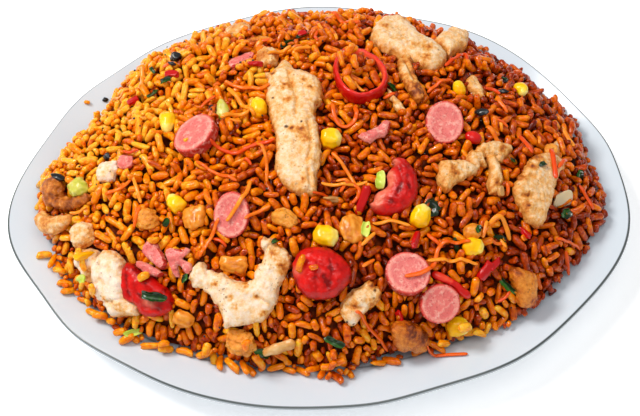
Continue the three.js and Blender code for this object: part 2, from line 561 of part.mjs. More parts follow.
serve("platter", solidOf(plateGeometry()), solidOf(plateGeometry()), PORCELAIN);
serve("rice_heap", solidOf(heapGeometry(0)), solidOf(heapGeometry(GAP)), RICE);
for (const piece of TOPPINGS) {
  serve(piece.name, makePiece(piece, 0), makePiece(piece, GAP), piece.paint);
}

export default plateOfRice;
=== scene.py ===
import math

import bmesh
import bpy
import numpy as np
from mathutils import Matrix, Vector, noise
from mathutils.bvhtree import BVHTree


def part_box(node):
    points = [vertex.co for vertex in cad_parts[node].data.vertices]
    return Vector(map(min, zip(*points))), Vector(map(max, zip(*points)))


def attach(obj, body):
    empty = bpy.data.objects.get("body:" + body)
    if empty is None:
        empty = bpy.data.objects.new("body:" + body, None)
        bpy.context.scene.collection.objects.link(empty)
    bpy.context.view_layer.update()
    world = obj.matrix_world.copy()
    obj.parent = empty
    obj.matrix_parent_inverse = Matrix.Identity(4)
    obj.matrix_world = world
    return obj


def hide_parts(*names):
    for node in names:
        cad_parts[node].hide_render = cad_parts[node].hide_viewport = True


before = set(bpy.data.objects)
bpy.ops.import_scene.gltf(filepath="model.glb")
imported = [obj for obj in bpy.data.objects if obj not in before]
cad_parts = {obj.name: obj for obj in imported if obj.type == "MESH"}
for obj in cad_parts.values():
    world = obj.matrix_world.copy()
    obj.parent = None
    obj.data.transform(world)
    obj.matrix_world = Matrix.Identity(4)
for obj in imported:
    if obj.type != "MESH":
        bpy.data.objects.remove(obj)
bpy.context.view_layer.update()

# ---- the platter ----
# An oval serving platter of white porcelain, pressed with a wavy edge and glazed all over but for
# its foot ring. Along the edge runs a thin dark line, with a grey band down the lip's outer face:
# painted shade of the lip. A second fine grey line runs round the shoulder where the flat rim meets
# the well.
MM = 0.001
RIM_SECTORS = 56
SHOULDER_HALF = Vector((129, 97)) * MM
SHOULDER_HEIGHT = 17 * MM
WELL_FLOOR = 7 * MM
WELL_START = 0.6
LINE_HALF_WIDTH = 0.002  # of the fine line, as a share of the shoulder oval
FOOT_HEIGHT = 3 * MM

RIM_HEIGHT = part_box("platter")[1].z
LIP_MIDDLE = RIM_HEIGHT - 1.4 * MM


def lip_outline():
    """The platter's wavy outline, one point for each sector, anticlockwise from +X."""
    found = {}
    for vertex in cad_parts["platter"].data.vertices:
        if abs(vertex.co.z - LIP_MIDDLE) < 0.1 * MM:
            key = round(math.atan2(vertex.co.y, vertex.co.x) % math.tau, 4)
            found[key] = Vector((vertex.co.x, vertex.co.y))
    keys = sorted(found)
    start = min(range(len(keys)), key=lambda i: min(keys[i], math.tau - keys[i]))
    return [found[keys[(start + i) % len(keys)]] for i in range(len(keys))]


def shoulder_point(sector, share):
    """A place on the oval of the shoulder, drawn smaller by a share."""
    angle = sector / RIM_SECTORS * math.tau
    return Vector((math.cos(angle), math.sin(angle))) * SHOULDER_HALF * share


def well_height(share):
    """Height of the well: flat in the middle, then climbing to the shoulder."""
    climb = max(0.0, (share - WELL_START) / (1 - WELL_START))
    return WELL_FLOOR + (SHOULDER_HEIGHT - WELL_FLOOR) * climb ** 2


lip = lip_outline()


def rim_point(sector, share):
    """A place on the rim, a share of the way from the shoulder to the lip."""
    return shoulder_point(sector, 1).lerp(lip[sector], share)


def rim_height(share):
    return SHOULDER_HEIGHT + (RIM_HEIGHT - SHOULDER_HEIGHT) * share


# Each ring: how its places are found, its share of the way out, its height, and how grey it is.
platter_rings = [(shoulder_point, share, well_height(share), 0)
                 for share in (0.1, 0.45, 0.6, 0.75, 0.87, 0.95)]
platter_rings += [
    (shoulder_point, 1 - 2 * LINE_HALF_WIDTH, SHOULDER_HEIGHT - 0.25 * MM, 0),
    (shoulder_point, 1 - LINE_HALF_WIDTH, SHOULDER_HEIGHT - 0.15 * MM, 0.7),
    (shoulder_point, 1 + LINE_HALF_WIDTH, SHOULDER_HEIGHT, 0.7),
    (rim_point, 0.06, rim_height(0.06), 0),
    (rim_point, 0.5, rim_height(0.5), 0),
    (rim_point, 0.9, rim_height(0.93), 0),
    # The dark line along the top of the lip and the grey band down its outer face are painted shade of the
    # lip's edge.
    (rim_point, 0.948, RIM_HEIGHT - 0.1 * MM, 0),
    (rim_point, 0.956, RIM_HEIGHT - 0.1 * MM, 1),
    (rim_point, 0.985, RIM_HEIGHT - 0.25 * MM, 1),
    (rim_point, 1.0, RIM_HEIGHT - 0.8 * MM, 0.4),
    (rim_point, 1.0, RIM_HEIGHT - 1.9 * MM, 0.3),
    (rim_point, 0.985, RIM_HEIGHT - 2.6 * MM, 0.3),
    (rim_point, 0.95, RIM_HEIGHT - 3 * MM, 0),
    (rim_point, 0.5, rim_height(0.5) - 3.4 * MM, 0),
    (shoulder_point, 1, SHOULDER_HEIGHT - 4 * MM, 0),
    (shoulder_point, 0.86, well_height(0.86) - 4 * MM, 0),
    (shoulder_point, 0.71, FOOT_HEIGHT + 0.4 * MM, 0),
    (shoulder_point, 0.69, FOOT_HEIGHT * 0.8, 0),
    (shoulder_point, 0.678, 0.3 * MM, 0),
    (shoulder_point, 0.672, 0, 0),
    (shoulder_point, 0.638, 0, 0),
    (shoulder_point, 0.632, 0.3 * MM, 0),
    (shoulder_point, 0.615, FOOT_HEIGHT * 0.9, 0),
    (shoulder_point, 0.4, FOOT_HEIGHT, 0),
    (shoulder_point, 0.1, FOOT_HEIGHT, 0),
]


def edges_round(form, circle):
    """The edges that join a circle of vertices."""
    return [form.edges.get((circle[i - 1], circle[i])) for i in range(len(circle))]


def lofted(form, rings):
    """Extrudes a circle from ring to ring of places and closes it. Returns the vertices by ring."""
    made = bmesh.ops.create_circle(form, cap_ends=True, segments=len(rings[0]), radius=1)["verts"]
    circle = [loop.vert for loop in made[0].link_faces[0].loops]
    levels = []
    for number, ring in enumerate(rings):
        if number:
            grown = bmesh.ops.extrude_edge_only(form, edges=edges_round(form, circle))["geom"]
            partner = {edge.other_vert(vert): vert for vert in grown if isinstance(vert, bmesh.types.BMVert)
                       for edge in vert.link_edges}
            circle = [partner[vert] for vert in circle]
        for vertex, spot in zip(circle, ring):
            vertex.co = spot
        levels.append(circle)
    bmesh.ops.contextual_create(form, geom=edges_round(form, circle))
    bmesh.ops.recalc_face_normals(form, faces=form.faces)
    return levels


platter_form = bmesh.new()
grey_layer = platter_form.verts.layers.float.new("grey_line")
outlines = [[(*place(sector, share), height) for sector in range(RIM_SECTORS)]
            for place, share, height, _ in platter_rings]
for circle, ring in zip(lofted(platter_form, outlines), platter_rings):
    for vertex in circle:
        vertex[grey_layer] = ring[3]


def object_from(form, name):
    """Closes a bmesh into a new object at the origin."""
    mesh = bpy.data.meshes.new(name)
    form.to_mesh(mesh)
    form.free()
    mesh.shade_smooth()
    made = bpy.data.objects.new(name, mesh)
    bpy.context.scene.collection.objects.link(made)
    return made


def rounded(piece, levels):
    """Rounds a piece off with a live subdivision."""
    rounding = piece.modifiers.new("rounding", "SUBSURF")
    rounding.levels = rounding.render_levels = levels
    return piece


platter = rounded(object_from(platter_form, "porcelain_platter"), 2)


def srgb(code):
    """A colour written as #rrggbb, in linear light."""
    parts = [int(code[i:i + 2], 16) / 255 for i in (1, 3, 5)]
    linear = [part / 12.92 if part <= 0.04045 else ((part + 0.055) / 1.055) ** 2.4 for part in parts]
    return (*linear, 1.0)


def repeats(size):
    """Scale of a pattern whose cells are a size in mm across."""
    return 1 / (size * MM)


def node(tree, kind, inputs=None, stops=None, **settings):
    """Adds a shader node with its settings. Inputs are values or the sockets that feed them;
    stops are the places and colours along a ramp."""
    made = tree.nodes.new(kind)
    for name, value in settings.items():
        setattr(made, name, value)
    for name, value in (inputs or {}).items():
        if isinstance(value, bpy.types.NodeSocket):
            tree.links.new(value, made.inputs[name])
        else:
            made.inputs[name].default_value = value
    if stops:
        ramp = made.color_ramp.elements
        while len(ramp) < len(stops):
            ramp.new(0.5)
        for element, (place, colour) in zip(ramp, stops):
            element.position = place
            element.color = srgb(colour)
    return made


def new_material(name):
    made = bpy.data.materials.new(name)
    made.use_nodes = True
    made.node_tree.nodes.clear()
    return made, made.node_tree


# Feldspathic porcelain under a clear glaze: cool white, smooth enough for soft reflections, with
# the faint orange-peel of a fired glaze. The grey at the lip is painted shade of its edge; the fine
# line at the shoulder is grey as well.
porcelain, tree = new_material("glazed_porcelain")
place = node(tree, "ShaderNodeTexCoord").outputs["Object"]
peel = node(tree, "ShaderNodeTexNoise", {"Vector": place, "Scale": repeats(3.846), "Detail": 2.0})
cloud = node(tree, "ShaderNodeTexNoise", {"Vector": place, "Scale": repeats(71.43), "Detail": 1.0})
white = node(tree, "ShaderNodeValToRGB", {"Fac": cloud.outputs["Fac"]},
             stops=[(0.3, "#ced8e2"), (0.7, "#d3dde6")])
grey = node(tree, "ShaderNodeAttribute", attribute_name="grey_line")
glaze = node(tree, "ShaderNodeMix", {"Factor": grey.outputs["Fac"], 6: white.outputs["Color"],
                                     7: srgb("#4c5252")}, data_type="RGBA")
bump = node(tree, "ShaderNodeBump", {
    "Height": peel.outputs["Fac"], "Strength": 0.05, "Distance": 0.2 * MM})
shader = node(tree, "ShaderNodeBsdfPrincipled", {
    "Base Color": glaze.outputs[2], "Normal": bump.outputs["Normal"], "Roughness": 0.16, "IOR": 1.5})
node(tree, "ShaderNodeOutputMaterial", {"Surface": shader.outputs[0]})


def hand_over(piece, material, slot, *nodes):
    """Gives a finished piece its material and body, and hides the CAD nodes it stands for. The slot is not
    used.
    """
    piece.data.materials.clear()
    piece.data.materials.append(material)
    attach(piece, "root")
    if nodes:
        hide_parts(*nodes)


hand_over(platter, porcelain, "porcelain", "platter")

# ---- height maps of what is on the table ----
# Rice and shreds are laid down one after the other on what is already there. A height map holds,
# for each cell of a fine grid over the platter, how high the food reaches.
CELL = 0.6 * MM
MAP_HALF = Vector((156, 123)) * MM
map_x = np.arange(-MAP_HALF.x, MAP_HALF.x, CELL)
map_y = np.arange(-MAP_HALF.y, MAP_HALF.y, CELL)
NOTHING = -1.0
ABOVE_ALL = 0.2  # height in m from which the food is sounded


def tree_of(target):
    """A search tree of an object's mesh as it stands, its modifiers included."""
    depsgraph = bpy.context.evaluated_depsgraph_get()
    depsgraph.update()
    return BVHTree.FromObject(target, depsgraph)


def height_map(targets):
    """Highest level of the targets in every cell, or NOTHING beside them."""
    heights = np.full((len(map_x), len(map_y)), NOTHING)
    down = Vector((0, 0, -1))
    for target in targets:
        search = tree_of(target)
        corners = np.array([v.co for v in target.data.vertices])
        low, high = corners.min(0) - CELL, corners.max(0) + CELL
        for i in np.nonzero((map_x > low[0]) & (map_x < high[0]))[0]:
            for j in np.nonzero((map_y > low[1]) & (map_y < high[1]))[0]:
                spot = search.ray_cast(Vector((map_x[i], map_y[j], ABOVE_ALL)), down)[0]
                if spot is not None and spot.z > heights[i, j]:
                    heights[i, j] = spot.z
    return heights


def cell_of(x, y):
    """Row and column of the cell at a place."""
    return int(round((x + MAP_HALF.x) / CELL)), int(round((y + MAP_HALF.y) / CELL))


def blurred(values, reach):
    """A height map averaged over squares of 2 * reach + 1 cells, twice."""
    for _ in range(2):
        for axis in (0, 1):
            padded = np.concatenate([np.repeat(values.take([0], axis), reach + 1, axis), values,
                                     np.repeat(values.take([-1], axis), reach, axis)], axis)
            sums = np.cumsum(padded, axis)
            window = 2 * reach + 1
            values = (np.take(sums, range(window, sums.shape[axis]), axis)
                      - np.take(sums, range(0, sums.shape[axis] - window), axis)) / window
    return values


porcelain_top = height_map([platter])
heap_outline = height_map([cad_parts["rice_heap"]])
on_heap = heap_outline > 0
heap_top = np.where(on_heap, heap_outline, porcelain_top)
FACET_CELLS = 5  # blur that takes the facets off the solid
heap_top = np.where(on_heap, blurred(heap_top, FACET_CELLS), heap_top)

# Clumps and hollows of the heap, as high as about one grain is thick.
CLUMP_SIZES = (22 * MM, 10 * MM)
CLUMP_HEIGHTS = (3.4 * MM, 4.0 * MM)
clumps = np.array([[sum(height * noise.noise(Vector((x, y, 0.02)) / size)
                        for size, height in zip(CLUMP_SIZES, CLUMP_HEIGHTS)) for y in map_y] for x in map_x])
# The foot of the heap is ragged, one grain thick where it runs out on the porcelain.
FOOT_SIZE = 11 * MM
FOOT_THICKNESS = 2.8 * MM
FOOT_CELLS = 4  # blur that turns the outline into a share of rice round each cell
FOOT_RAGGED = 0.35
inward_share = blurred(on_heap.astype(float), FOOT_CELLS)
ragged = np.array([[noise.noise(Vector((x, y, 0.07)) / FOOT_SIZE) for y in map_y] for x in map_x])
on_heap &= inward_share > 0.5 + FOOT_RAGGED * ragged
# In front some grains have rolled down on to the slope of the well.
ROLLED_CELLS = 7
ROLLED_SHARE, ROLLED_RAGGED, LEAST_ROLLED = 0.2, 0.28, 0.06
ROLLED_FRONT = -30 * MM
ROLLED_RIGHT = 50 * MM
rolled_share = blurred((inward_share > 0.5).astype(float), ROLLED_CELLS)
rolled = rolled_share > np.maximum(ROLLED_SHARE + ROLLED_RAGGED * ragged, LEAST_ROLLED)
on_heap |= rolled & (map_y < ROLLED_FRONT) & (map_x[:, None] < ROLLED_RIGHT)
# The back of the heap is fuller than its solid by about a grain.
BACK_FULLER = 3.5 * MM
BACK_FROM, BACK_DEPTH, BACK_HALF_WIDTH = 25 * MM, 50 * MM, 110 * MM
behind = np.clip((map_y[None, :] - BACK_FROM) / BACK_DEPTH, 0, 1)
between = np.clip(1.4 - np.abs(map_x[:, None]) / BACK_HALF_WIDTH, 0, 1)
fuller = behind * between * BACK_FULLER * np.clip(inward_share * 3 - 2, 0, 1)
filled = np.maximum(heap_top + clumps + fuller, porcelain_top + FOOT_THICKNESS)
rice_level = np.where(on_heap, filled, porcelain_top)

# The pepper ring is full of rice, a little more to its left.
RING_FILL = 5 * MM
RING_SHIFT = 2 * MM
ring_low, ring_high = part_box("pepper_ring")
ring_x = map_x[:, None] - (ring_low.x + ring_high.x) / 2 + RING_SHIFT
ring_y = map_y[None, :] - (ring_low.y + ring_high.y) / 2
ring_across = np.hypot(ring_x / (ring_high.x - ring_low.x), ring_y / (ring_high.y - ring_low.y)) * 2
rice_level += RING_FILL * np.clip(2.4 - 3 * ring_across, 0, 1)

# ---- the inside of the heap ----
# Below the grains that show, the rice is one sauce-soaked mass, coloured dark as painted shade of
# the deep gaps. It is the heap's solid let down by the thickness of the loose grains, with the relief
# of packed rice.
GRAIN_BED = 5.0 * MM  # depth of loose grains over the core
CORE_RELIEF = 0.9 * MM
CORE_CLEAR = 0.25 * MM  # between the core and the porcelain
FOOT_SHARE = 0.65  # of the let-down, sideways, so that the soaked rice reaches the foot

CORE_GRAINS = 3 * MM
CORE_CUTS = 5


def merged_copy(node_name):
    """A copy of a food solid with its triangles joined, to be shaped."""
    form = bmesh.new()
    form.from_mesh(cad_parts[node_name].data)
    bmesh.ops.remove_doubles(form, verts=form.verts, dist=1e-6)
    return form


core_form = merged_copy("rice_heap")
bmesh.ops.subdivide_edges(core_form, edges=core_form.edges, cuts=CORE_CUTS, use_grid_fill=True)
core_form.normal_update()
for vertex in core_form.verts:
    out = vertex.normal.copy()
    out = Vector((out.x * FOOT_SHARE, out.y * FOOT_SHARE, max(out.z, 0.0)))
    packed = CORE_RELIEF * noise.noise(vertex.co / CORE_GRAINS)
    i, j = cell_of(vertex.co.x, vertex.co.y)
    vertex.co -= out * (GRAIN_BED + packed)
    vertex.co.z += (rice_level[i, j] - heap_top[i, j]) * out.z
for vertex in core_form.verts:
    i, j = cell_of(vertex.co.x, vertex.co.y)
    vertex.co.z = max(vertex.co.z, porcelain_top[i, j] + CORE_CLEAR)
heap_core = object_from(core_form, "rice_heap_core")

# Boiled long-grain rice fried in dark soy and tomato, seen in the gaps between grains: reddish
# brown darkened with painted shade, almost black where the packed grains meet and no light reaches,
# and wet.
shaded_rice_core, tree = new_material("shaded_rice_core")
place = node(tree, "ShaderNodeTexCoord").outputs["Object"]
packed = node(tree, "ShaderNodeTexVoronoi", {"Vector": place, "Scale": repeats(3.333)})
tone = node(tree, "ShaderNodeValToRGB", {"Fac": packed.outputs["Distance"]},
            stops=[(0.0, "#803000"), (0.5, "#561a00"), (0.9, "#2a0c00")])
bump = node(tree, "ShaderNodeBump", {
    "Height": packed.outputs["Distance"], "Strength": 0.6, "Distance": 1 * MM}, invert=True)
shader = node(tree, "ShaderNodeBsdfPrincipled", {
    "Base Color": tone.outputs["Color"], "Normal": bump.outputs["Normal"], "Roughness": 0.7, "IOR": 1.2})
node(tree, "ShaderNodeOutputMaterial", {"Surface": shader.outputs[0]})
hand_over(heap_core, shaded_rice_core, "rice", "rice_heap")


# ---- chicken ----
# Strips, lumps and dice of chicken breast, fried until the outside is cream with golden scorches,
# and tossed with the rice. The edges are torn, the fibres show as fine wrinkles, and the pieces
# that took up more sauce are brown all over.
FRINGE = 1.2  # mm from the edge that are torn and browned
CREASE = 0.9  # mm, half the width of a fold
LUMP_SIZE = 6  # mm, of the swellings on a piece


def arrays_of(mesh):
    """Places and normals of a mesh's vertices."""
    places = np.empty(len(mesh.vertices) * 3)
    mesh.vertices.foreach_get("co", places)
    normals = np.empty(len(mesh.vertices) * 3)
    mesh.vertex_normals.foreach_get("vector", normals)
    return places.reshape(-1, 3), normals.reshape(-1, 3)


def evened(rough, voxel, rounds, rounder=0):
    """A mesh object remade from even small faces, smoothed a little."""
    if rounder:
        rounded(rough, rounder)
    remesh = rough.modifiers.new("even", "REMESH")
    remesh.mode = "VOXEL"
    remesh.voxel_size = voxel
    relax = rough.modifiers.new("relax", "SMOOTH")
    relax.factor = 0.5
    relax.iterations = rounds
    depsgraph = bpy.context.evaluated_depsgraph_get()
    depsgraph.update()
    mesh = bpy.data.meshes.new_from_object(rough.evaluated_get(depsgraph))
    name = rough.name
    bpy.data.objects.remove(rough)
    mesh.shade_smooth()
    made = bpy.data.objects.new(name, mesh)
    bpy.context.scene.collection.objects.link(made)
    return made


def waves(places, sizes, seed=0.0):
    """Smooth noise at each place, about -1 to 1, with sizes in metres along the three axes."""
    shift = Vector((seed, -seed, seed * 0.5))
    return np.array([noise.noise(Vector(place) + shift) for place in places / np.array(sizes)])


def lumps(places, size, seed=0.0):
    """Rounded lumps at each place, 1 in the middle of a lump and 0 between lumps."""
    shift = Vector((seed, seed, -seed))
    found = [noise.voronoi(Vector(place) + shift)[0] for place in places / size]
    return np.array([1 - min(1.0, distance[0] * 1.25) ** 2 for distance in found])


def set_attribute(mesh, name, values):
    """Stores a value for each vertex, for a material to read."""
    mesh.attributes.new(name, "FLOAT", "POINT").data.foreach_set("value", np.asarray(values, np.float32))


def from_lines(places, points):
    """Distance of each place, in its first two coordinates, from a line through some points."""
    nearest = np.full(len(places), np.inf)
    for first, second in zip(np.array(points[:-1]), np.array(points[1:])):
        along = second - first
        share = np.clip(((places[:, :2] - first) @ along) / (along @ along), 0, 1)
        apart = places[:, :2] - first - share[:, None] * along
        nearest = np.minimum(nearest, np.linalg.norm(apart, axis=1))
    return nearest


def slab(name, thickness, outline, edge, ragged):
    """A slab with an outline, rounded at its edge; edge and distances in mm. Gives places in mm."""
    form = bmesh.new()
    points = [Vector((*point, 0)) for point in outline]
    lofted(form, [[(point + Vector((0, 0, level))) * MM for point in points]
                  for level in (-thickness / 2, thickness / 2)])
    piece = evened(object_from(form, name + "_torn"), 0.5 * MM, 4)
    places, _ = arrays_of(piece.data)
    places /= MM
    inward = from_lines(places, [*outline, outline[0]])
    rounding = np.sqrt(np.clip(1 - (1 - np.minimum(inward / edge, 1)) ** 2, 0, 1))
    places[:, 2] *= 0.22 + 0.78 * rounding
    seed = len(name) * 1.7
    fringe = np.exp(-inward / FRINGE) * ragged
    places[:, 0] += fringe * waves(places, (2.2, 2.2, 4), seed)
    places[:, 1] += fringe * waves(places, (2.2, 2.2, 4), seed + 31)
    return piece, places, inward


def lay_slab(piece, places, centre, facing, bow, lift):
    """Bows a slab over the heap and puts it in its place; all in mm."""
    out = Vector((*facing, math.sqrt(1 - facing[0] ** 2 - facing[1] ** 2)))
    aside = (Vector((1, 0, 0)) - out * out.x).normalized()
    back = out.cross(aside)
    height = places[:, 2] + lift - (places[:, 0] ** 2 + places[:, 1] ** 2) / (2 * bow)
    local = np.c_[places[:, 0], places[:, 1], height]
    laid = np.array(centre) + local @ np.array((aside, back, out))
    piece.data.vertices.foreach_set("co", (laid * MM).ravel())
    piece.data.update()


